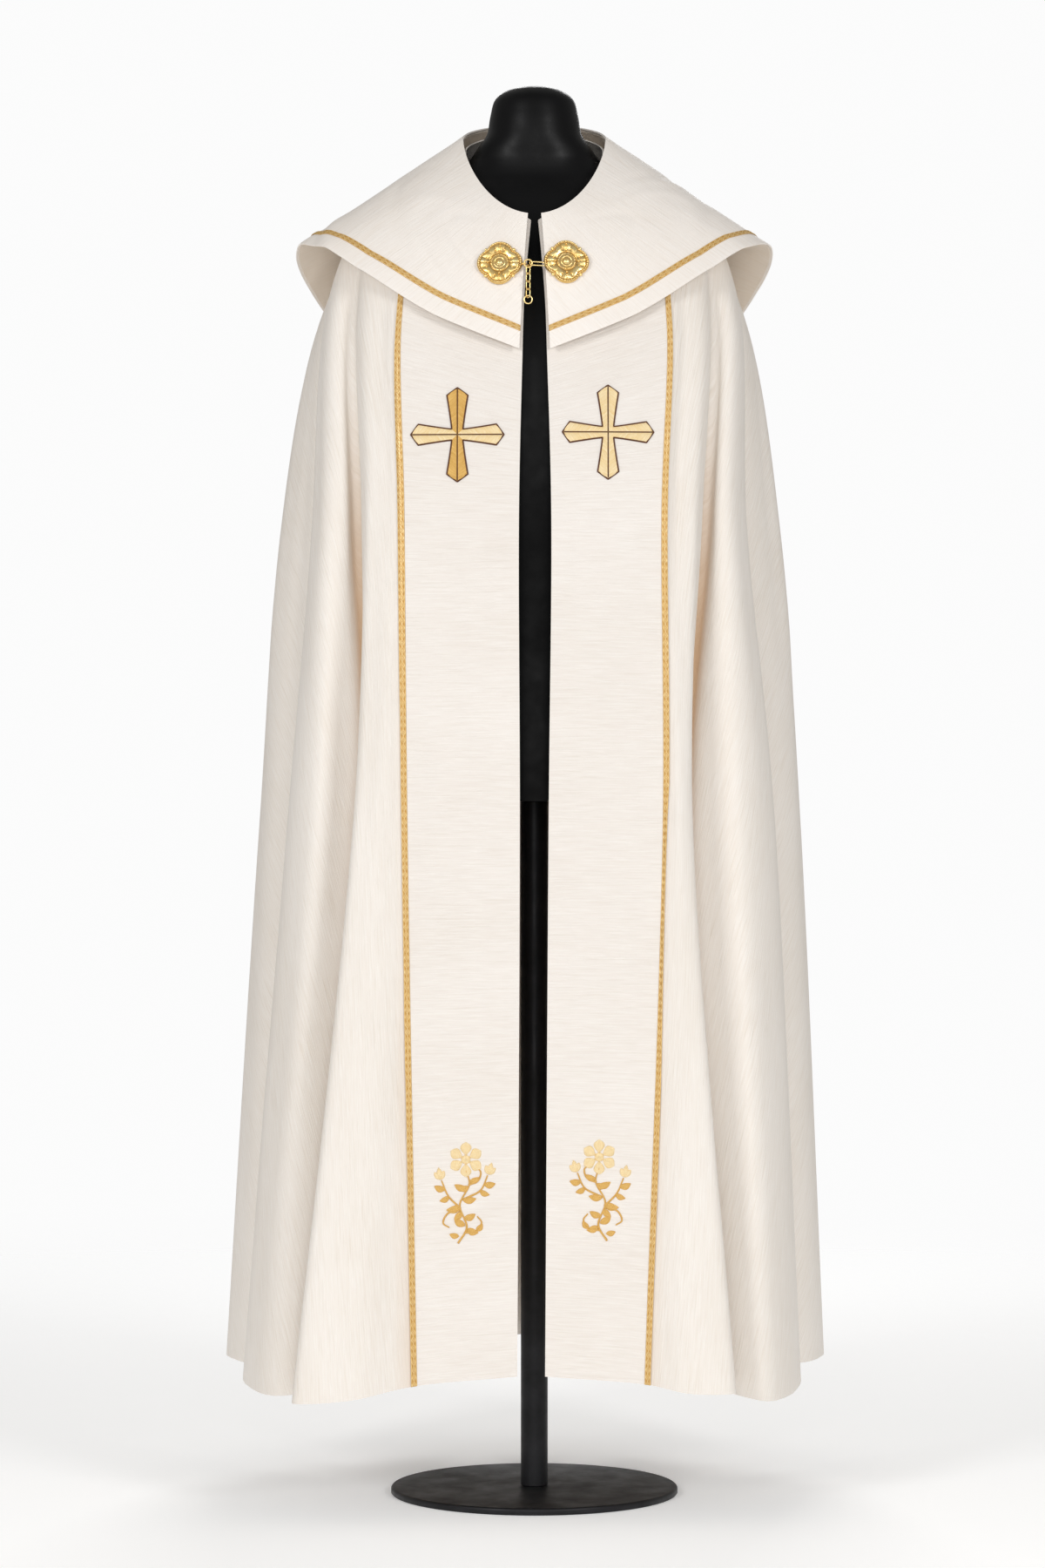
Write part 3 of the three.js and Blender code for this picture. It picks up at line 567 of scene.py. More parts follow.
RIGHT_FOLDS = np.array([
    (5, 4, 19, -166, 16, -170, 12, -170, 160),
    (48, 45, 149, -160, 151, -168, 130, -174, 151),
    (53, 50, 164, -157, 166, -171, 178, -194, 143),
    (58, 56, 180, -148, 176, -160, 226, -184, 142),
    (63, 62, 192, -137, 177, -138, 216, -150, 143),
    (68, 67, 199, -112, 172, -108, 166, -98, 144),
    (72, 71, 210, -116, 200, -112, 214, -124, 138),
    (76, 76, 226, -112, 240, -116, 268, -140, 127),
    (81, 82, 246, -76, 280, -56, 314, -20, 134),
    (85, 87, 245, -50, 272, -20, 299, 30, 139),
    (89, 91, 240, -26, 240, 2, 208, 44, 142),
    (92, 95, 257, -4, 266, 32, 258, 82, 141),
    (96, 99, 274, 24, 304, 70, 328, 112, 139),
    (100, 104, 289, 72, 321, 130, 352, 194, 141)], dtype=float)

# left half width, right half width, middle y, depth and fold of the back's outline at chest, waist and hem
BACK_OUTLINE = ((299, 289, 50, 180, 22), (330, 321, 95, 210, 62), (373, 353, 152, 250, 116))
BACK_PIPE_REACH = 22
# bearing, half width in degrees, fold beside it, hem z
BACK_PIPES = np.array([
    (121, 4.5, 1.0, 138), (141, 4.0, 0.9, 141), (160, 5.0, 1.05, 137), (181, 4.6, 0.95, 136),
    (202, 4.2, 1.08, 139), (221, 4.8, 0.88, 140), (241, 4.2, 1.0, 138)])


def back_folds():
    """Rows like the tables above for the back: a deep line before each pipe, two on its crest, and a last one."""
    bearing, half_width, fold, hem_z = BACK_PIPES.T
    marks = np.concatenate([[bearing[0] - BACK_PIPE_REACH], bearing, [bearing[-1] + BACK_PIPE_REACH]])
    deep = (marks[:-1] + marks[1:]) / 2
    deep_fold = np.append(fold, fold[0])
    at = np.stack([deep[:-1], bearing - half_width, bearing + half_width], -1).ravel()
    inward = np.stack([deep_fold[:-1], 0 * fold, 0 * fold], -1).ravel()
    hems = np.stack([0 * fold + DEEP_HEM_Z, hem_z, hem_z], -1).ravel()
    at, inward, hems = np.append(at, deep[-1]), np.append(inward, deep_fold[-1]), np.append(hems, DEEP_HEM_Z)
    rows = [at, at]
    for left, right, middle_y, depth, level_fold in BACK_OUTLINE:
        x = -np.where(at < 180, left, right) * np.sin(np.radians(at))
        y = -depth * np.cos(np.radians(at))
        keep = 1 - inward * level_fold / np.hypot(x, y)
        rows += [x * keep, middle_y + y * keep]
    return np.stack(rows + [hems], -1)


def fold_levels(folds):
    """The seven places of each fold line: three on the shoulder, one over the arm, chest, waist and hem."""
    neck_bearing, yoke = folds[:, 0], folds[:, 1]
    each = np.ones(len(folds))
    shoulder = [slope_point(neck_bearing, yoke, part * each, -MANTLE_UNDER_CAPELET * each) for part in SHOULDER_PARTS]
    chest = np.column_stack([folds[:, 2:4], np.full(len(folds), CHEST_Z)])
    waist = np.column_stack([folds[:, 4:6], np.full(len(folds), WAIST_Z)])
    arm = shoulder[-1] + (chest - shoulder[-1]) * ARM_PART
    swell = ARM_SWELL_FRONT + ARM_SWELL_SIDE * np.sin(np.radians(yoke)) ** 2
    arm = arm + unit(arm * (1, 1, 0)) * swell[:, None]
    return np.stack([*shoulder, arm, chest, waist, folds[:, 6:9]], axis=1)


mirrored = RIGHT_FOLDS[::-1].copy()
mirrored[:, :2] = 360 - mirrored[:, :2]
FOLD_PLACES = fold_levels(np.concatenate([LEFT_FOLDS, back_folds(), mirrored]))
LAST_LINE = len(FOLD_PLACES) - 1
print("fold lines:", len(FOLD_PLACES))

# %% [markdown]
# ## One surface for the mantle
# The fold lines are joined by one smooth surface, so folds grow out of the shoulders as they do on real cloth. The
# cloth is a closed wall with a real thickness and a thicker hem. Its deep folds carry painted shade, darker and
# warmer, for light that reaches them only after it has met the ivory cloth.

# %% The mantle's surface
# top line and level, foot line and level, depth and half width in millimetres
MANTLE_CREASES = (
    (3.3, 2.7, 3.15, 5.6, 3.4, 11), (5.1, 2.4, 4.9, 5.5, -10.0, 15), (7.2, 2.6, 7.4, 5.4, 4.2, 16),
    (9.9, 2.5, 10.0, 5.4, -10.5, 17), (12.6, 2.5, 12.4, 5.2, 4.0, 20), (14.0, 2.5, 14.0, 5.3, -9.0, 19),
    (3.05, 4.5, 3.1, 6.9, 3.0, 8), (2.1, 2.6, 2.05, 4.6, -1.9, 8), (1.55, 3.5, 1.6, 5.0, 1.0, 6),
    (17.0, 2.5, 17.0, 5.2, -7.5, 20), (20.0, 2.5, 20.0, 5.2, -8.5, 20), (23.0, 2.5, 23.0, 5.2, -7.0, 20),
    (26.0, 2.5, 26.0, 5.2, -8.5, 20), (29.0, 2.5, 29.0, 5.2, -7.5, 20), (32.0, 2.5, 32.0, 5.2, -8.0, 20),
    (45.7, 2.7, 45.9, 5.6, 3.0, 10), (43.9, 2.4, 44.1, 5.5, -9.5, 15), (41.8, 2.6, 41.6, 5.4, 4.4, 16),
    (39.1, 2.5, 39.0, 5.4, -10.0, 17), (36.4, 2.5, 36.6, 5.2, 4.0, 20), (35.0, 2.5, 35.0, 5.3, -9.0, 19),
    (46.0, 4.4, 45.95, 6.9, 3.0, 8), (46.9, 2.6, 47.0, 4.4, -2.4, 8),
    (1.5, 3.1, 1.35, 4.7, -1.6, 9), (2.2, 3.4, 1.9, 5.2, 1.3, 10), (1.75, 4.9, 2.3, 6.3, -2.2, 11),
    (2.75, 5.0, 2.9, 6.4, 1.6, 8), (1.2, 5.3, 1.35, 5.9, -1.2, 6), (3.4, 3.6, 3.3, 4.8, 1.4, 9),
    (6.6, 3.5, 6.4, 5.4, -2.4, 12), (7.3, 4.3, 7.6, 6.4, -2.6, 14), (8.2, 3.3, 7.7, 4.5, 2.0, 12),
    (7.9, 5.2, 8.2, 6.4, 1.8, 11), (9.3, 3.9, 9.1, 5.6, -2.2, 13), (11.4, 3.4, 11.7, 5.2, -2.6, 14),
    (12.5, 4.4, 12.4, 6.4, -3.0, 17), (12.9, 3.0, 13.3, 4.4, 2.2, 13), (13.5, 4.8, 13.6, 6.4, 2.4, 15),
    (15.5, 3.2, 15.3, 5.0, -2.2, 12), (16.4, 4.6, 16.2, 6.4, 2.2, 14), (18.7, 3.6, 18.4, 5.5, -2.4, 11),
    (19.6, 4.9, 19.2, 6.3, 1.8, 12), (21.5, 3.0, 21.7, 4.9, -2.6, 15), (22.3, 4.4, 22.1, 6.4, 2.2, 13),
    (24.5, 3.4, 24.4, 5.8, -2.8, 14), (25.6, 4.0, 25.1, 5.2, 1.9, 11), (27.5, 3.2, 27.4, 5.3, -2.2, 13),
    (28.3, 4.7, 28.5, 6.4, 2.0, 15), (30.5, 3.7, 30.4, 5.6, -2.6, 12), (31.3, 3.1, 31.1, 4.6, 1.8, 10),
    (33.6, 3.5, 33.4, 6.3, -2.3, 13), (34.5, 4.8, 34.6, 6.4, 2.2, 12), (36.4, 4.4, 36.5, 6.4, -2.8, 16),
    (36.7, 3.1, 36.3, 4.6, 2.1, 13), (37.5, 4.9, 37.8, 6.4, 2.2, 15), (38.2, 3.5, 38.4, 5.0, -2.2, 13),
    (40.4, 3.8, 40.2, 5.5, -2.2, 12), (41.2, 4.4, 41.5, 6.4, 2.0, 12), (41.9, 3.2, 41.5, 4.6, -2.4, 13),
    (42.6, 4.7, 42.2, 6.4, -2.4, 12), (45.7, 3.6, 45.9, 4.9, 1.4, 9), (46.6, 4.6, 46.2, 6.4, 1.5, 9),
    (47.3, 3.2, 47.0, 4.9, -2.0, 9), (47.2, 5.1, 46.8, 6.4, -2.0, 10), (47.75, 4.9, 47.7, 5.6, 1.2, 7))
HEM_ALLOWANCE = 29


def mantle_surface(columns, rows):
    """The smooth surface through the fold lines: first round the wearer at each level, then down each column.
    Soft creases are then laid on it."""
    across = smooth_line(np.swapaxes(FOLD_PLACES, 0, 1), columns)
    net = smooth_line(np.swapaxes(across, 0, 1), rows)
    return net + outward_of(net) * crease_depths(net, columns, rows, MANTLE_CREASES)[..., None]


FLAT_NECK_RADIUS = 95


def flat_cut(net):
    """Where each point lay in the flat half circle: a column is a radius, at an angle in step with the length of
    hem before it, and the distance down the column is the distance from the middle."""
    before = lengths_along(net[:, -1])
    angle = np.pi * before / before[-1]
    steps = np.linalg.norm(np.diff(net, axis=1), axis=-1)
    radius = FLAT_NECK_RADIUS + np.concatenate([np.zeros((len(net), 1)), np.cumsum(steps, axis=1)], axis=1)
    return np.stack([radius * np.cos(angle)[:, None], radius * np.sin(angle)[:, None]], -1) * MM


def fold_depth(net, out, reach, full):
    """0 on the crests and 1 in the deep folds: how far each point lies inside the average of its row's
    neighbours, a few fold lines to each side, as a part of a full depth in millimetres."""
    padded = np.pad(net, ((reach, reach), (0, 0), (0, 0)), mode="edge")
    total = np.cumsum(np.concatenate([np.zeros((1, *padded.shape[1:])), padded]), axis=0)
    average = (total[2 * reach + 1:] - total[:-2 * reach - 1]) / (2 * reach + 1)
    return smooth_step(np.sum((average - net) * out, axis=-1) / full)


mantle_columns = np.concatenate([
    np.linspace(0, 1, 20, endpoint=False), np.linspace(1, LAST_LINE - 1, 6 * (LAST_LINE - 2), endpoint=False),
    np.linspace(LAST_LINE - 1, LAST_LINE, 21)])
mantle_rows = np.concatenate([
    np.linspace(0, 3, 26, endpoint=False), np.linspace(3, 4, 15, endpoint=False),
    np.linspace(4, 5, 26, endpoint=False), np.linspace(5, 5.955, 44, endpoint=False), [5.955, 5.962, 5.985, 6.0]])
mantle_net = mantle_surface(mantle_columns, mantle_rows)
mantle_out = outward_of(mantle_net)
below = mantle_net[:, :, 2] - mantle_net[:, -1:, 2]
wide_folds = fold_depth(mantle_net, mantle_out, 19, 40.0)
narrow_folds = fold_depth(mantle_net, mantle_out, 6, 9.0)
# Painted shade: deep folds, wide and narrow, take the dark tan, fading out upwards between 950 and 1330 mm.
painted_fold_shade = np.maximum(0.35 * wide_folds, 0.85 * narrow_folds) * smooth_step((1330 - mantle_net[..., 2]) / 380)
hem_swell = 0.5 * smooth_step((HEM_ALLOWANCE + 2 - below) / 3)[..., None]
make_piece(
    "mantle_cloth",
    wall((mantle_net + mantle_out * MANTLE_WALL) * MM, (mantle_net - mantle_out * hem_swell) * MM,
         grain=flat_cut(mantle_net), relief=1 - painted_fold_shade),
    mantle_ivory, stands_for=["mantle"], sharp=60)
print("hem length in metres:", round(float(lengths_along(mantle_net[:, -1])[-1]) * MM, 3))

# %% [markdown]
# ## The front bands
# The two orphreys are bands of the same cloth with the grain across them, sewn on the mantle's straight edges. They
# lie a little above the mantle, so each is the mantle's own surface moved out, and follows every soft swell in it.

# %% The orphreys
ON_MANTLE = MANTLE_WALL + GAP
ON_BAND = ON_MANTLE + BAND_WALL + GAP


HEM_ROW = 6.0
BAND_COLUMNS, BAND_ROWS, BAND_EDGE_TURN = 26, 150, 0.35
BRAID_COLUMNS, BRAID_ROWS = 11, 1150


def even_rows(column, count):
    """Row places that are evenly spaced along one column of the mantle, measured on the cloth."""
    fine = np.linspace(0, HEM_ROW, 900)
    line = mantle_surface(np.array([column - 0.01, column, column + 0.01]), fine)[1]
    length = lengths_along(line)
    return np.interp(np.linspace(0, length[-1], count), length, fine), float(length[-1])


def band_net(side, rows):
    """The mantle's surface from its front edge to the braid's middle line, with even columns across, and one more
    column at the braid's far edge, half its width towards the next fold line."""
    edge, braid = (0, 1) if side == "left" else (LAST_LINE, LAST_LINE - 1)
    net = mantle_surface(np.linspace(edge, braid, BAND_COLUMNS), rows)
    line, beside = mantle_surface(np.array([braid, 2 * braid - edge]), rows)
    far = line + unit(beside - line) * BRAID_HALF_WIDTH
    net = np.concatenate([net, far[None]])
    return net if side == "left" else net[::-1]


band_out = {}
for side in ("left", "right"):
    rows, band_length = even_rows(0.5 if side == "left" else LAST_LINE - 0.5, BAND_ROWS)
    net = band_net(side, rows)
    out = outward_of(net)
    edges = np.minimum(np.arange(len(net)), np.arange(len(net))[::-1])[:, None] * np.ones(len(rows))
    turned = -BAND_EDGE_TURN * np.exp(-edges / 0.6)
    steps = np.linalg.norm(np.diff(net, axis=0), axis=-1)
    width = np.concatenate([np.zeros((1, len(rows))), np.cumsum(steps, axis=0)])
    drop = np.broadcast_to(np.linspace(0, band_length, len(rows)), width.shape)
    grain = np.stack([width + (0 if side == "left" else 700), drop], -1) * MM
    top = net + out * (ON_MANTLE + BAND_WALL + turned)[..., None]
    band_out[side] = (top, out)
    make_piece(f"orphrey_{side}_cloth", wall(top * MM, (net + out * ON_MANTLE) * MM, grain=grain),
               band_ivory, stands_for=[f"orphrey_{side}"], sharp=50)
print("band length in metres:", round(band_length * MM, 3), "width:", round(float(width[-1].mean()) * MM, 3))

# %% [markdown]
# ## The gold braid
# The braid is a narrow woven ribbon with a row of small lozenges between two corded edges. It is modelled as a strip
# whose height is that pattern, and the same height paints shade into the hollows in the finish.

# %% The braid's relief
LOZENGE, EDGE_CORD, CORD_TWIST = 8.6, 0.84, 1.5


def braid_relief(across, along):
    """Height from 0 to 1. across runs from -1 to 1: two round edge cords, and between them a lozenge in each
    repeat, where the sum of the distances from its middle along and across is small, with a raised core."""
    twist = 0.8 + 0.2 * np.cos(2 * np.pi * along / CORD_TWIST)
    edge = np.exp(-(((np.abs(across) - EDGE_CORD) / 0.13) ** 2)) * twist
    phase = np.abs((along / LOZENGE) % 1 - 0.5) * 2
    diamond = np.abs(across) / 0.68 + phase
    frame_line = np.exp(-(((diamond - 0.92) / 0.2) ** 2))
    core = np.exp(-((diamond / 0.42) ** 2))
    return np.clip(np.maximum(edge, np.maximum(0.95 * frame_line, 0.85 * core)), 0, 1)


def braid_part(net, low):
    """A strip over a net whose columns run across the braid. Its underside is moved out by low, and its top rises
    above that with the pattern."""
    out = outward_of(net)
    along = lengths_along(net.mean(axis=0))
    across = np.linspace(-1, 1, BRAID_COLUMNS)[:, None] * np.ones(len(along))
    relief = braid_relief(across, along[None])
    height = low + BRAID_WALL * (0.35 + 0.65 * relief) * (1 - 0.6 * np.abs(across) ** 12)
    grain = np.stack([np.broadcast_to(along, relief.shape), across * BRAID_HALF_WIDTH], -1) * MM
    # Painted shade: the pattern's height also darkens the braid's hollows with the dark gold.
    return wall((net + out * height[..., None]) * MM, (net + out * low) * MM, grain=grain, relief=relief)


def orphrey_braid(side):
    """The braid's net lies along the band's outer line, a straight step each way from its middle."""
    middle = 1 if side == "left" else LAST_LINE - 1
    rows, length = even_rows(middle, BRAID_ROWS)
    nets = mantle_surface(np.array([middle - 0.03, middle, middle + 0.03]), rows)
    step = np.linspace(-1, 1, BRAID_COLUMNS)[:, None, None] * BRAID_HALF_WIDTH
    before, after = unit(nets[0] - nets[1]), unit(nets[2] - nets[1])
    net = nets[1][None] + np.where(step < 0, -step * before[None], step * after[None])
    return braid_part(net, ON_BAND), length


for side in ("left", "right"):
    part, braid_length = orphrey_braid(side)
    make_piece(f"orphrey_braid_{side}_ribbon", part, braid_gold, stands_for=[f"orphrey_braid_{side}"])
print("braid length in metres:", round(braid_length * MM, 3))

# %% [markdown]
# ## The capelet
# The capelet is a cone of cloth over the shoulders, open in front. Its hem hangs free, and at the sides it stands off
# the arms and shows a beige satin lining. The same slope formula that places the solid places this surface.

# %% The capelet, its lining and its braid
# place from the left front edge (0) to the right (1) and part of the way down, at both ends; depth; half width
CAPELET_CREASES = (
    (0.035, 0.1, 0.06, 0.8, -1.0, 8), (0.08, 0.15, 0.115, 0.95, 1.2, 12), (0.15, 0.1, 0.165, 0.9, -1.5, 13),
    (0.205, 0.3, 0.21, 1.3, 2.0, 15), (0.235, 0.25, 0.245, 1.25, -2.2, 14), (0.275, 0.2, 0.27, 1.2, 1.8, 14),
    (0.33, 0.15, 0.34, 1.1, -1.8, 16), (0.41, 0.2, 0.4, 1.2, 1.6, 18), (0.47, 0.1, 0.475, 0.9, -1.4, 13),
    (0.55, 0.25, 0.56, 1.2, 1.8, 17), (0.62, 0.1, 0.61, 1.0, -1.6, 15), (0.69, 0.2, 0.7, 1.2, 1.5, 14),
    (0.745, 0.3, 0.74, 1.3, -2.2, 15), (0.785, 0.25, 0.79, 1.25, 2.0, 15), (0.83, 0.1, 0.82, 0.9, -1.5, 12),
    (0.885, 0.15, 0.86, 0.95, 1.1, 12), (0.955, 0.1, 0.93, 0.8, -1.0, 8))


CAPELET_COLUMNS, CAPELET_ROWS, CAPELET_BRAID_COLUMNS = 289, 44, 1500
CONE_HEM_RADIUS = 372


def capelet_net(turn, down_of):
    """The slope at each place round the wearer, with the creases. down_of gives the rows for each column's length."""
    neck_bearing = NECK["opening"] + (360 - 2 * NECK["opening"]) * turn
    hem_bearing = CAPELET_HEM["opening"] + (360 - 2 * CAPELET_HEM["opening"]) * turn
    length = np.linalg.norm(neck_point(neck_bearing) - capelet_hem_point(hem_bearing), axis=-1)
    down = down_of(length[:, None])
    shape = down.shape
    net = slope_point(np.broadcast_to(neck_bearing[:, None], shape),
                      np.broadcast_to(hem_bearing[:, None], shape), down)
    depth = crease_depths(net, turn, down.mean(axis=0), CAPELET_CREASES)
    return net + outward_of(net) * depth[..., None], length


capelet_turn = np.linspace(0, 1, CAPELET_COLUMNS)
capelet_rows = np.concatenate([np.linspace(0, 1, CAPELET_ROWS, endpoint=False), [0.985, 1.0]])
capelet_surface, capelet_length = capelet_net(
    capelet_turn, lambda length: capelet_rows[None] * np.ones_like(length))
capelet_out = outward_of(capelet_surface)
around = lengths_along(capelet_surface[:, -1])
to_hem = capelet_length[:, None] * (1 - capelet_rows[None])
cone_angle = (around[:, None] - around[-1] / 2) / CONE_HEM_RADIUS
cone_radius = CONE_HEM_RADIUS - to_hem
capelet_grain = np.stack([cone_radius * np.sin(cone_angle), cone_radius * np.cos(cone_angle)], -1) * MM
edge_round = -0.5 * np.exp(-to_hem / 1.2)
# The capelet's cloth takes the lighter ivory: painted light on its upward slope.
make_piece("capelet_cloth",
           wall((capelet_surface + capelet_out * (CAPELET_WALL + edge_round)[..., None]) * MM,
                capelet_surface * MM, grain=capelet_grain),
           capelet_ivory_painted_light, stands_for=["capelet"], sharp=60)

trim_turn = LINING_TRIM / around[-1]
lining_turn = np.linspace(trim_turn, 1 - trim_turn, CAPELET_COLUMNS)
lining_rows = np.linspace(0, 1, CAPELET_ROWS)[None]
lining_surface, _ = capelet_net(
    lining_turn, lambda length: LINING_TRIM / length + (1 - 2 * LINING_TRIM / length) * lining_rows)
lining_out = outward_of(lining_surface)
stitch_line = 0.3 * np.exp(-((((1 - lining_rows) * capelet_length[:, None]) - 4) / 1.5) ** 2)
make_piece("capelet_lining_cloth",
           wall((lining_surface - lining_out * GAP) * MM,
                (lining_surface - lining_out * (GAP + LINING_WALL - stitch_line)[..., None]) * MM,
                grain=capelet_grain[:, :CAPELET_ROWS]),
           lining, stands_for=["capelet_lining"], sharp=60)


def capelet_braid_net():
    """Columns across the braid and rows along it, in even steps of the hem's own length."""
    turn = np.interp(np.linspace(0, around[-1], CAPELET_BRAID_COLUMNS), around, capelet_turn)
    inset = BRAID_INSET + BRAID_HALF_WIDTH * np.linspace(1, -1, BRAID_COLUMNS)
    net, _ = capelet_net(turn, lambda length: 1 - inset[None] / length)
    return np.swapaxes(net, 0, 1)[::-1]


capelet_braid = capelet_braid_net()
make_piece("capelet_braid_ribbon", braid_part(capelet_braid, CAPELET_WALL + GAP), braid_gold,
           stands_for=["capelet_braid"])
capelet_braid_length = lengths_along(capelet_braid.mean(axis=0))[-1]
print("capelet hem in metres:", round(float(around[-1]) * MM, 3),
      "braid:", round(float(capelet_braid_length) * MM, 3))

# %% [markdown]
# ## Embroidery
# Each motif is satin stitch: threads laid side by side over padding, so a petal or an arm is a low rounded pad. A pad
# is drawn flat, as across and up distances on the band, and then set on the band's own surface.

# %% Lay flat drawings on a band
def on_band(side, x, z, height):
    """The point of a band at each x and z, moved out by a height. First every column of the band gives its x, y and
    outward direction at that z, then the two columns on each side of x are mixed."""
    top, out = band_out[side]
    rows = top.shape[1]
    grid_z = top[..., 2]
    share = (grid_z[:, :1] - z.ravel()[None]) / (grid_z[:, :1] - grid_z[:, -1:])
    index = np.clip(share * (rows - 1), 0, rows - 1.001)
    for _ in range(6):
        low = index.astype(int)
        z_low = np.take_along_axis(grid_z, low, 1)
        z_high = np.take_along_axis(grid_z, low + 1, 1)
        here = z_low + (z_high - z_low) * (index - low)
        index = np.clip(index + (z.ravel()[None] - here) / (z_high - z_low), 0, rows - 1.001)
    low = index.astype(int)
    part = (index - low)[..., None]
    above, below = (np.take_along_axis(top, low[..., None] + step, 1) for step in (0, 1))
    line = above * (1 - part) + below * part
    face = np.take_along_axis(out, low[..., None], 1)
    column = np.clip((line[..., 0] > x.ravel()[None]).sum(axis=0) - 1, 0, len(top) - 2)
    number = np.arange(x.size)
    a, b = line[column, number], line[column + 1, number]
    w = np.clip((x.ravel() - a[:, 0]) / (b[:, 0] - a[:, 0]), 0, 1)[:, None]
    place = a * (1 - w) + b * w + unit(face[column, number]) * height.ravel()[:, None]
    return place.reshape(*x.shape, 3)


def pad(side, x, z, height, grain, sink=0.15):
    """A closed pad from flat grids of x, z and height, which stands on the band and reaches just into it."""
    outer = on_band(side, x, z, height)
    inner = on_band(side, x, z, np.full(x.shape, -sink))
    if np.mean(np.cross(outer[1:, :-1] - outer[:-1, :-1], outer[:-1, 1:] - outer[:-1, :-1])[..., 1]) > 0:
        outer, inner, grain = outer[::-1], inner[::-1], grain[::-1]
    return wall(outer * MM, inner * MM, grain=grain * MM)


def cord_on_band(side, x, z, radius, lift=0.2, shape=None):
    """A laid cord: a tube along a flat line, lifted a little from the band."""
    path = on_band(side, x, z, np.full(x.shape, lift))
    return tube(path * MM, radius * MM, 8, up=(0, -1, 0), shape=shape)

# %% [markdown]
# ## The crosses
# Each band carries one cross at chest height. Its four arms widen from the middle and end in a point, each worked in
# two halves that slant to a brown centre line, with a brown outline.

# %% The crosses
CROSSES = {"left": (-89.0, 1242.0, 53.5, 54.5), "right": (84.5, 1245.0, 52.5, 54.5)}
ARM_ROOT, ARM_TIP, ARM_SHOULDER, PAD_HEIGHT = 6.3, 12.0, 0.84, 1.3
SIDE_STEPS, TIP_STEPS = 30, 19


def arm_outline(length, part, across):
    """Along: from a mitre at the middle to a pointed end. Across: widening from the root to the tip."""
    start = ARM_ROOT * np.abs(across)
    end = length * (1 - (1 - ARM_SHOULDER) * np.abs(across))
    along = start + (end - start) * part
    width = ARM_ROOT + (ARM_TIP - ARM_ROOT) * part**1.15
    return along, across * width


def cross_arm(side, centre, direction, length):
    """One arm: a pad with two rounded halves and a furrow between them, and the cords round and along it."""
    part, across = np.meshgrid(np.linspace(0, 1, 46), np.linspace(-1, 1, 23), indexing="ij")
    along, aside = arm_outline(length, part, across)
    flat = np.abs(np.abs(across) - 0.5) * 2
    height = 0.25 + PAD_HEIGHT * np.sqrt(np.clip(1 - 0.86 * flat**2.4, 0, 1))
    cos, sin = math.cos(direction), math.sin(direction)
    x, z = centre[0] + along * cos - aside * sin, centre[1] + along * sin + aside * cos
    grain = np.stack([np.abs(aside) * 1.2 + along * 0.2, along * 0.92 + np.abs(aside) * 0.75], -1)
    tip_across = np.linspace(-1, 1, TIP_STEPS + 2)[1:-1]
    rim_across = np.concatenate([np.full(SIDE_STEPS, -1.0), tip_across, np.full(SIDE_STEPS, 1.0)])
    rim_part = np.concatenate([np.linspace(0, 1, SIDE_STEPS), np.ones(TIP_STEPS), np.linspace(1, 0, SIDE_STEPS)])
    rim_along, rim_aside = arm_outline(length, rim_part, rim_across)
    rim = cord_on_band(side, centre[0] + rim_along * cos - rim_aside * sin,
                       centre[1] + rim_along * sin + rim_aside * cos, 1.0, 0.6)
    spine = np.linspace(0.5, length * 0.97, SIDE_STEPS)
    middle = cord_on_band(side, centre[0] + spine * cos, centre[1] + spine * sin, 0.75, 1.0)
    return pad(side, x, z, height, grain), [rim, middle]


for side, (cross_x, cross_z, half_width, half_height) in CROSSES.items():
    pads, cords = {"light": [], "dark": []}, []
    for turn, length in ((0, half_width), (1, half_height), (2, half_width), (3, half_height)):
        # On the left band the upright arms take the darker gold as painted shade, where the satin stitch catches less
        # light.
        tone = "dark" if side == "left" and turn % 2 else "light"
        arm, lines = cross_arm(side, (cross_x, cross_z), turn * math.pi / 2, length)
        pads[tone].append(arm)
        cords += lines
    make_piece(f"cross_{side}_light", join_parts(pads["light"]), stitch_light, sharp=70)
    if pads["dark"]:
        make_piece(f"cross_{side}_dark", join_parts(pads["dark"]), stitch_dark, sharp=70)
    make_piece(f"cross_{side}_lines", join_parts(cords), stitch_brown)

# %% [markdown]
# ## The flower sprays
# Near the hem each band has a spray of gold flowers. This is a plain one: a waving stem, an open flower with six
# round petals at its head, two buds on side stems, pointed leaves, and curled tendrils. Every leaf and petal is one
# grid shaped by a sine, so a short table of sizes, places and turns draws the whole spray. The right band has its
# mirror image.

# %% The flower sprays
SPRAYS = {"left": (-81.0, 371.0, 1), "right": (76.0, 374.0, -1)}


def leaf(length, width, bend, base, angle, point=1.0, height=1.0):
    """A leaf or petal: its half width is the sine of the way along to a power, and its midrib bends to one side."""
    part, across = np.meshgrid(np.linspace(0, 1, 30), np.linspace(-1, 1, 13), indexing="ij")
    half = width * np.sin(np.pi * np.clip(part, 0.01, 0.995) ** point) ** 0.75
    along = part * length
    aside = across * half + bend * np.sin(np.pi * part * 0.9)
    cos, sin = math.cos(angle), math.sin(angle)
    u, v = base[0] + along * cos - aside * sin, base[1] + along * sin + aside * cos
    rise = 0.2 + height * np.sqrt(np.clip(1 - across**2, 0, 1)) * (1 - 0.45 * np.exp(-((across / 0.16) ** 2)))
    grain = np.stack([np.abs(across) * half * 1.1, along + np.abs(across) * half * 0.7], -1)
    return u, v, rise, grain


def stem(points, count=40):
    """A smooth flat line through a few places."""
    flat = np.column_stack([np.array(points, dtype=float), np.zeros(len(points))])
    return smooth_line(flat, np.linspace(0, len(points) - 1, count))[:, :2].T


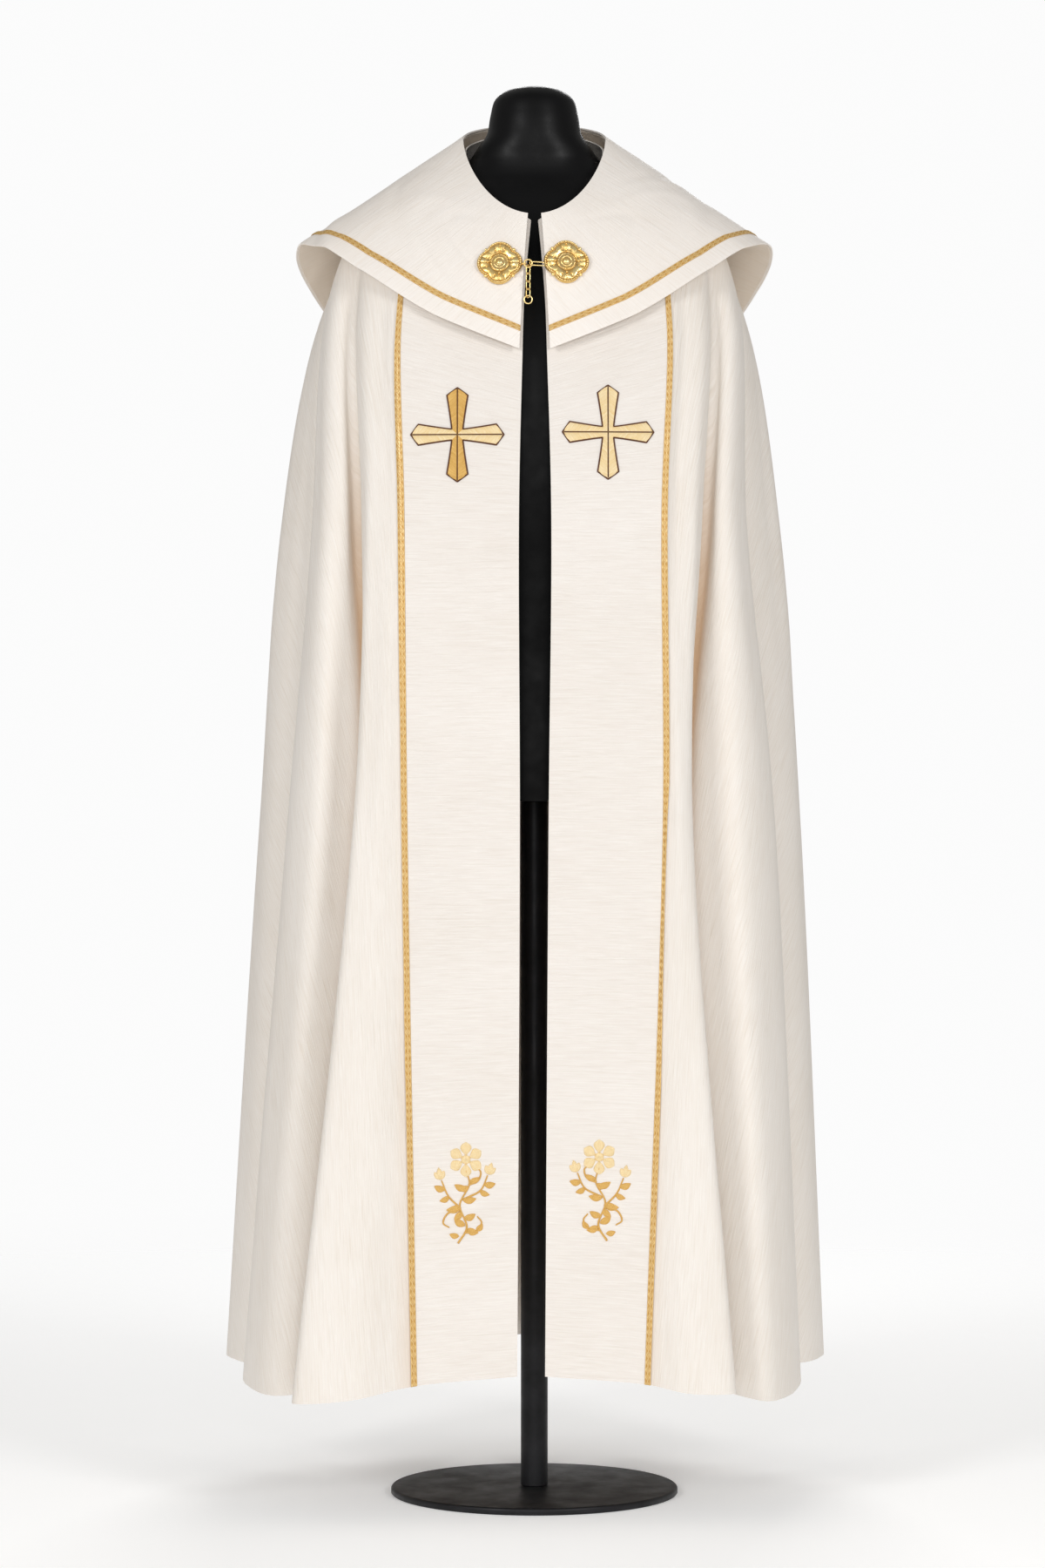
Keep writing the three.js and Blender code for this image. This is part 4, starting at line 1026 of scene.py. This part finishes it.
SPRAY_STEMS = [[(-7, -58), (3, -40), (-5, -14), (6, 10), (2, 26)], [(-4, -18), (-18, -4), (-26, 14)],
               [(3, -6), (19, 3), (27, 20)], [(0, -46), (13, -44), (20, -34), (15, -27)],
               [(-5, -20), (-19, -24), (-24, -35), (-17, -40)], [(5, 9), (16, 14), (19, 24), (14, 29)]]
SPRAY_LEAVES = [(15, 4.2, 1.5, (1, -38), 2.5), (14, 4.0, -1.5, (0, -30), 0.45), (17, 4.4, 1.8, (-4, -16), 3.35),
                (16, 4.2, -1.6, (-2, -8), 0.1), (15, 4.0, 1.6, (3, 4), 2.75), (13, 3.6, -1.4, (6, 12), 0.5),
                (12, 3.4, 1.2, (-17, -5), 3.5), (12, 3.4, -1.2, (18, 2), -0.35), (11, 3.4, 1.0, (-6, -50), 2.9),
                (14, 4.2, -1.4, (3, -42), -0.25), (13, 4.0, 1.3, (-22, 3), 2.75), (13, 4.0, -1.3, (23, 9), 0.15),
                (12, 3.8, 1.2, (-3, -22), 3.9), (11, 3.4, -1.0, (14, -44), 0.9), (11, 3.6, 1.1, (5, 7), 3.5)]
SPRAY_BUDS = [(-27, 15, 1.75), (28, 21, 1.3)]
FLOWER, PETALS, HEART_RADIUS = (2, 38), 6, 5.2

for side, (spray_x, spray_z, face) in SPRAYS.items():
    greens, petals, cords = [], [], []
    for length, width, bend, base, angle in SPRAY_LEAVES:
        greens.append(leaf(length, width, bend, base, angle, 0.85, 0.9))
    for bud_u, bud_v, angle in SPRAY_BUDS:
        for spread, length in ((-0.55, 11), (0.55, 11), (0, 14)):
            petals.append(leaf(length, 3.3, 0, (bud_u, bud_v), angle + spread, 0.95, 1.1))
    for k in range(PETALS):
        angle = math.pi / 2 + k * 2 * math.pi / PETALS
        base = (FLOWER[0] + 4.5 * math.cos(angle), FLOWER[1] + 4.5 * math.sin(angle))
        petals.append(leaf(15.5, 6.4, 0, base, angle, 1.35, 1.2))
    heart_turn, heart_out = np.meshgrid(np.linspace(0, 2 * np.pi, 33), np.linspace(0.02, 1, 9), indexing="ij")
    heart = heart_out * HEART_RADIUS
    petals.append((FLOWER[0] + heart * np.cos(heart_turn), FLOWER[1] + heart * np.sin(heart_turn),
                   0.3 + 1.9 * np.sqrt(1 - 0.96 * heart_out**2), np.stack([heart_out * 5, heart_turn * 3], -1)))
    for points in SPRAY_STEMS:
        u, v = stem(points)
        cords.append(cord_on_band(side, spray_x + face * u, spray_z + v, 1.1, 0.3, np.linspace(1.15, 0.75, len(u))))
    for kind, shapes, material in (("leaves", greens, stitch_dark), ("petals", petals, stitch_light)):
        pads = [pad(side, spray_x + face * u, spray_z + v, rise, grain) for u, v, rise, grain in shapes]
        make_piece(f"spray_{side}_{kind}", join_parts(pads), material, sharp=70)
    make_piece(f"spray_{side}_stems", join_parts(cords), stitch_dark)

# %% [markdown]
# ## The clasp
# Two gilt cast rosettes are sewn to the capelet's front edges, with a ring between them. The left one holds the ring
# in an eye and the right one hooks into it. A short tail of links hangs from the ring, and swings.

# %% The rosettes
RING = np.array([-7.5, -150.5, 1440.0])
RING_RADIUS, RING_WIRE = 4.5, 1.0
ROSETTE_CENTRES = {"left": (-40.0, 1441.0), "right": (36.5, 1442.5)}
LOBE_CENTRE, LOBE_RADIUS, ROSETTE_LIFT, ROSETTE_PLATE = 10.0, 16.5, 1.4, 3.8
# distance from the middle, turn from the lobe's middle, height over the plate, radius
PEARLS = ((13.6, 0, 0.5, 1.25), (17.6, 0, 0.5, 1.05), (21.0, 0, 0.5, 0.85), (15.8, -0.34, 0.2, 1.15),
          (15.8, 0.34, 0.2, 1.15))


def on_capelet(x, z):
    """The capelet's bearing and slope at an x and z on its front, by forty small corrections, and the frame there."""
    bearing, down = np.array(15.0 if x < 0 else 345.0), np.array(0.4)
    for _ in range(40):
        here = slope_point(bearing, bearing, down)
        bearing = bearing + np.degrees((here[0] - x) / CAPELET_HEM["front"])
        down = down + (here[2] - z) / (NECK["shoulder_z"] - CAPELET_HEM_HEIGHTS[0, 1])
    place = slope_point(bearing, bearing, down)
    round_it = slope_point(bearing + 1, bearing + 1, down) - place
    below_it = slope_point(bearing, bearing, down + 0.01) - place
    out = unit(np.cross(round_it, below_it))
    across = unit(np.cross((0, 0, 1), out))
    return place, across, np.cross(out, across), out


def rosette_relief(share, turn):
    """Height of the casting over its plate, from the middle (share 0) to the rim (1): a dome, a ring, a flat field,
    a ring of petals, and a raised rim with beads."""
    radius = share * lobe_reach(turn)
    dome = 2.6 * np.sqrt(np.clip(1 - (radius / 3.9) ** 2, 0, 1))
    ring = 1.5 * np.exp(-(((radius - 6.0) / 0.8) ** 2))
    field = 0.9 * (radius < 9.6) + 0.9 * np.exp(-(((radius - 10.2) / 0.7) ** 2))
    lobe_turn = (turn + np.pi / 4) % (np.pi / 2) - np.pi / 4
    petal_zone = smooth_step((radius - 10.8) / 1.5) * smooth_step((0.88 - share) / 0.05)
    rib = np.abs(np.cos(5 * lobe_turn)) ** 0.7 * np.exp(-(((share - 0.7) / 0.16) ** 2))
    petals = petal_zone * (0.6 + 1.3 * rib)
    vein = -0.7 * petal_zone * np.exp(-((np.abs(lobe_turn) / 0.05) ** 2))
    bead = (0.75 + 0.25 * np.cos(turn * 52)) * 1.7 * np.exp(-(((share - 0.925) / 0.045) ** 2))
    return np.maximum.reduce([dome, ring, field, petals + vein, bead])


def lobe_reach(turn):
    """How far the edge is in each direction: the far side of the circle of the nearest of the four lobes."""
    off = (turn + np.pi / 4) % (np.pi / 2) - np.pi / 4
    return LOBE_CENTRE * np.cos(off) + np.sqrt(LOBE_RADIUS**2 - (LOBE_CENTRE * np.sin(off)) ** 2)


def small_ball(centre, radius, flat=1.0):
    """A ball of a few faces, as a grid of turn and height angle."""
    turn, rise = np.meshgrid(np.linspace(0, 2 * np.pi, 14, endpoint=False), np.linspace(-np.pi / 2, np.pi / 2, 8),
                             indexing="ij")
    points = np.stack([np.cos(rise) * np.cos(turn), np.cos(rise) * np.sin(turn), flat * np.sin(rise)], -1) * radius
    quads = grid_quads(*turn.shape, wrap=True)[:, ::-1]
    return {"points": (points + centre).reshape(-1, 3), "quads": quads, "relief": np.ones(turn.size)}


def rosette_parts():
    """A polar grid for the front, a rounded side, and a flat back; then nubs in the notches and pearls."""
    turn = np.linspace(0, 2 * np.pi, 216, endpoint=False)
    share = np.linspace(0, 0.965, 62)
    t, s = np.meshgrid(turn, share, indexing="ij")
    reach = lobe_reach(t)
    front = np.stack([s * reach * np.cos(t), s * reach * np.sin(t), ROSETTE_PLATE - 1.0 + rosette_relief(s, t)], -1)
    side_rows = np.array([(0.985, 0.75), (1.0, 0.4), (1.0, 0.12), (0.97, 0.0), (0.5, 0.0), (0.0, 0.0)])
    reach = lobe_reach(turn)[:, None]
    side_shape = (len(turn), len(side_rows))
    side_part = np.stack([side_rows[None, :, 0] * reach * np.cos(turn)[:, None],
                          side_rows[None, :, 0] * reach * np.sin(turn)[:, None],
                          np.broadcast_to(side_rows[None, :, 1] * (ROSETTE_PLATE - 0.8), side_shape)], -1)
    net = np.concatenate([front, side_part], axis=1)
    # Painted shade: the casting's low places, and its rounded side by a fixed part, take the gilt's dark colour;
    # pearls and nubs take none.
    painted_light_level = np.concatenate([np.clip(rosette_relief(s, t) / 1.5, 0, 1), np.full(side_shape, 0.7)], axis=1)
    parts = [{"points": net.reshape(-1, 3), "quads": grid_quads(*net.shape[:2], wrap=True), "relief": painted_light_level.ravel()}]
    for k in range(4):
        angle = np.pi / 4 + k * np.pi / 2
        parts.append(small_ball((22.6 * np.cos(angle), 22.6 * np.sin(angle), 1.8), 2.1, 0.8))
        for far, off, lift, size in PEARLS:
            lobe = k * np.pi / 2 + off
            parts.append(small_ball((far * np.cos(lobe), far * np.sin(lobe), ROSETTE_PLATE + lift), size))
    return join_parts(parts)


def wire_path(centre, along, across, length, width, count=72):
    """The middle line of a closed loop: half circles joined by straight sides."""
    turn = (np.arange(count) + 0.5) * 2 * np.pi / count
    out = np.outer(np.cos(turn), along) + np.outer(np.sin(turn), across)
    return centre + out * width / 2 + np.outer(np.sign(np.cos(turn)) * (length - width) / 2, along)


ROUND_WIRE = 0.93


def wire_part(path, wire, up, sides=14):
    """A closed tube of wire with no painted shade, so that the finish stays bright. The solid link's wire has six
    sides, and a round one of about its area is a little thinner, which also leaves the links room to swing."""
    part = tube(path * MM, wire * ROUND_WIRE * MM, sides, closed=True, up=up)
    return {"points": part["points"], "quads": part["quads"], "relief": np.ones(len(part["points"]))}


X, Y, Z = np.eye(3)
FITTING_WIRE = 0.8
hook_along = unit(np.array([1, 0.42, 0]))
hook_across = (np.cross(Z, hook_along) + Z) * math.sqrt(0.5)
left_eye = wire_part(wire_path(RING + (-4.5, 4, 0), Y, -X, 12.4, 4.4), FITTING_WIRE, np.cross(Y, -X))
hook_link = wire_part(wire_path(RING + (10.7, 2.6, 0), hook_along, hook_across, 19, 6.4), FITTING_WIRE,
                      np.cross(hook_along, hook_across))
for side, fitting in (("left", left_eye), ("right", hook_link)):
    place, across, rise, out = on_capelet(*ROSETTE_CENTRES[side])
    casting = rosette_parts()
    local = casting["points"]
    casting["points"] = (place + out * (CAPELET_WALL + ROSETTE_LIFT - 0.6) + local[:, :1] * across
                         + local[:, 1:2] * rise + local[:, 2:] * out) * MM
    make_piece(f"rosette_{side}_casting", join_parts([casting, fitting]), gilt,
               stands_for=[f"rosette_{side}"], poles=True)

# %% [markdown]
# ## The ring and the tail
# A link is a round wire bent to a long loop, and each hangs at a right angle inside the one above. The links ride on
# their own bodies, so every loop has a little room to swing in its neighbour.

# %% The ring and the tail
TAIL_LINKS, TAIL_WIDTH, TAIL_LENGTH, TAIL_WIRE, RING_GAP = 4, 3, 10.6, 0.65, 0.9
END_RADIUS, END_WIRE = 4.6, 0.9
make_piece("clasp_ring_wire", wire_part(wire_path(RING, X, Z, 9, 9), RING_WIRE, Y), gilt,
           stands_for=["clasp_ring"])
hang_z = RING[2] - RING_RADIUS + RING_WIRE + RING_GAP + TAIL_WIRE
for k in range(1, TAIL_LINKS + 1):
    turn = math.radians(45 if k % 2 else 135)
    across = np.array([math.cos(turn), math.sin(turn), 0])
    path = wire_path(np.array([RING[0], RING[1], hang_z - TAIL_LENGTH / 2]), Z, across, TAIL_LENGTH, 2 * TAIL_WIDTH)
    make_piece(f"tail_link_{k}_wire", wire_part(path, TAIL_WIRE, np.cross(Z, across)), gilt,
               body=f"tail_{k}", stands_for=[f"tail_link_{k}"])
    hang_z += 2 * TAIL_WIRE + GAP - TAIL_LENGTH
end_z = hang_z - GAP + RING_GAP - TAIL_WIRE + END_WIRE - END_RADIUS
path = wire_path(np.array([RING[0], RING[1], end_z]), X, Z, 2 * END_RADIUS, 2 * END_RADIUS)
make_piece("tail_end_ring_wire", wire_part(path, END_WIRE, Y), gilt,
           body="tail_ring", stands_for=["tail_end_ring"])

# %% [markdown]
# ## The dress form
# The cope hangs on a plain headless form with no limbs, covered in smooth black, on a steel pole with a round base.
# Its body is a loft: a smooth line through each list of half widths and depths, turned round an oval at each height.

# %% The dress form
# height, half width, depth in front, depth behind
FORM_SECTIONS = np.array([
    (1665, 22, 22, 22), (1660, 37, 37, 37), (1650, 48, 48, 48), (1631, 53, 52, 52), (1610, 57, 53, 53),
    (1594, 68, 52, 53), (1577, 80, 50, 56), (1556, 118, 52, 64), (1535, 154, 64, 82), (1508, 180, 74, 102),
    (1475, 192, 92, 120), (1430, 196, 110, 134), (1370, 192, 126, 138), (1290, 182, 134, 130),
    (1190, 166, 132, 112), (1080, 150, 118, 96), (980, 148, 112, 98), (880, 152, 114, 106),
    (820, 150, 112, 106)], dtype=float)
FORM_TAKE_IN = 0.6


def form_net():
    """Rows down the form, closed in the middle at both ends, and columns round it."""
    place = np.linspace(0, len(FORM_SECTIONS) - 1, 150)
    z, half = smooth_line(FORM_SECTIONS[:, [0, 1, 1]], place)[:, :2].T
    front, back = smooth_line(FORM_SECTIONS[:, [0, 2, 3]], place)[:, 1:].T
    ends = [np.concatenate([[first], line, [last]]) for line, first, last in
            ((z, 1666.0, 820.0), (half, 0, 0), (front, 0, 0), (back, 0, 0))]
    z, half, front, back = ends
    bearing = np.linspace(0, 2 * np.pi, 160, endpoint=False)[:, None]
    depth = np.where(np.cos(bearing) > 0, front, back)
    x = -np.maximum(half - FORM_TAKE_IN, 0) * np.sin(bearing)
    y = -np.maximum(depth - FORM_TAKE_IN, 0) * np.cos(bearing)
    return np.stack([x, y, np.broadcast_to(z, x.shape)], -1)


torso = form_net()
torso_quads = grid_quads(*torso.shape[:2], wrap=True)[:, ::-1]
make_piece("form_body", {"points": torso.reshape(-1, 3) * MM, "quads": torso_quads}, black_cover,
           stands_for=["form_torso"], sharp=60, poles=True)


def turned_part(profile, sides=128):
    """A profile of (radius, height) carried round the upright axis."""
    turn = np.linspace(0, 2 * np.pi, sides, endpoint=False)[:, None]
    radius, height = np.array(profile, dtype=float).T
    net = np.stack([radius * np.cos(turn), radius * np.sin(turn), np.broadcast_to(height, (sides, len(height)))], -1)
    return {"points": net.reshape(-1, 3) * MM, "quads": grid_quads(sides, len(height), wrap=True)}


pole_profile = [(0, 819.7), (15.2, 819.7), (16, 819), (16, 40), (16, 9), (15.2, 8.3), (0, 8.3)]
edge_turn = np.linspace(0, np.pi / 2, 9)
base_profile = [(0, 8), (60, 8), (167, 8)] + [(167 + 3 * math.sin(a), 5 + 3 * math.cos(a)) for a in edge_turn[1:]]
base_profile += [(170, 1), (169.2, 0), (60, 0), (0, 0)]
make_piece("form_pole_tube", turned_part(pole_profile, 64), black_steel, stands_for=["form_pole"],
           sharp=40, poles=True)
make_piece("form_base_plate", turned_part(base_profile), black_steel, stands_for=["form_base"],
           sharp=40, poles=True)

# %% [markdown]
# ## A piece by its name
# The mantle is half a circle, and the capelet most of a ring. A small helper finds a finished piece by its name.

def piece(name):
    """A finished piece by its name."""
    return bpy.data.objects[name]


# %% [markdown]
# ## Floor and light
# A plain white floor fades into a white surround, so that there is no horizon from any side. The surround itself
# gives little light: broad lamps from the front sides and one from behind leave the folds to shade themselves.

# %% The floor and the surround
FLOOR_RADIUS, FLOOR_FADE_START, FLOOR_FADE_END = 5.0, 1.0, 3.6
FLOOR_DROP, FLOOR_HOLE = 0.0004, 0.001
floor_turn, floor_out = np.meshgrid(np.linspace(0, 2 * np.pi, 97)[:-1],
                                    np.linspace(FLOOR_HOLE, FLOOR_RADIUS, 12), indexing="ij")
floor_net = np.stack([floor_out * np.cos(floor_turn), floor_out * np.sin(floor_turn),
                      np.full(floor_turn.shape, -FLOOR_DROP)], -1)
floor_mesh = bpy.data.meshes.new("floor")
floor_mesh.from_pydata(floor_net.reshape(-1, 3).tolist(), [], grid_quads(96, 12, wrap=True).tolist())
floor = bpy.data.objects.new("floor", floor_mesh)
bpy.context.scene.collection.objects.link(floor)
floor_finish = bpy.data.materials.new("floor")
floor_finish.use_nodes = True
floor_tree = floor_finish.node_tree
floor_surface = floor_tree.nodes["Principled BSDF"]
floor_surface.inputs["Base Color"].default_value = (0.95, 0.95, 0.95, 1)
floor_surface.inputs["Roughness"].default_value = 0.9
floor_surface.inputs["Emission Color"].default_value = (1, 1, 1, 1)
floor_surface.inputs["Emission Strength"].default_value = 0.22
floor_place = add_node(floor_tree, "TexCoord").outputs["Object"]
reach = add_node(floor_tree, "VectorMath", [(0, floor_place)], operation="LENGTH")
fade = add_node(floor_tree, "MapRange", [(0, reach.outputs["Value"])], in_1=FLOOR_FADE_START, in_2=FLOOR_FADE_END,
                in_3=1.0, in_4=0.0, interpolation_type="SMOOTHSTEP")
floor_tree.links.new(fade.outputs[0], floor_surface.inputs["Alpha"])
floor_mesh.materials.append(floor_finish)

world = bpy.data.worlds.new("studio")
bpy.context.scene.world = world
world.use_nodes = True
sky = world.node_tree
glow, seen = sky.nodes["Background"], sky.nodes.new("ShaderNodeBackground")
glow.inputs[0].default_value, glow.inputs[1].default_value = (1, 0.99, 0.97, 1), 0.36
seen.inputs[0].default_value, seen.inputs[1].default_value = (1, 1, 1, 1), 0.97
choice = add_node(sky, "MixShader", [(0, add_node(sky, "LightPath").outputs["Is Camera Ray"]), (1, glow.outputs[0]),
                                    (2, seen.outputs[0])])
sky.links.new(choice.outputs[0], sky.nodes["World Output"].inputs[0])


def soft_light(name, place, look_at, size, power):
    """A square lamp that faces a point: its turn about Z and its tilt are the angles of the line to that point."""
    data = bpy.data.lights.new(name, "AREA")
    data.shape = "SQUARE"
    data.size = size
    data.energy = power
    lamp = bpy.data.objects.new(name, data)
    facing = np.array(look_at) - np.array(place)
    lamp.location = place
    yaw = math.atan2(facing[1], facing[0]) - math.pi / 2
    pitch = math.atan2(facing[2], math.hypot(facing[0], facing[1])) + math.pi / 2
    lamp.rotation_euler = (pitch, 0, yaw)
    bpy.context.scene.collection.objects.link(lamp)
    return lamp


soft_light("left key", (-2.4, -3.5, 2.2), (0, 0, 0.9), 1.1, 57)
soft_light("right key", (2.4, -3.5, 2.2), (0, 0, 0.9), 1.1, 53)
soft_light("front fill", (0, -4.6, 1.3), (0, 0, 1.1), 1.4, 26)
soft_light("back", (0.3, 3.4, 2.6), (0, 0, 0.9), 1.6, 46)
print("lights:", [item.name for item in bpy.data.lights])
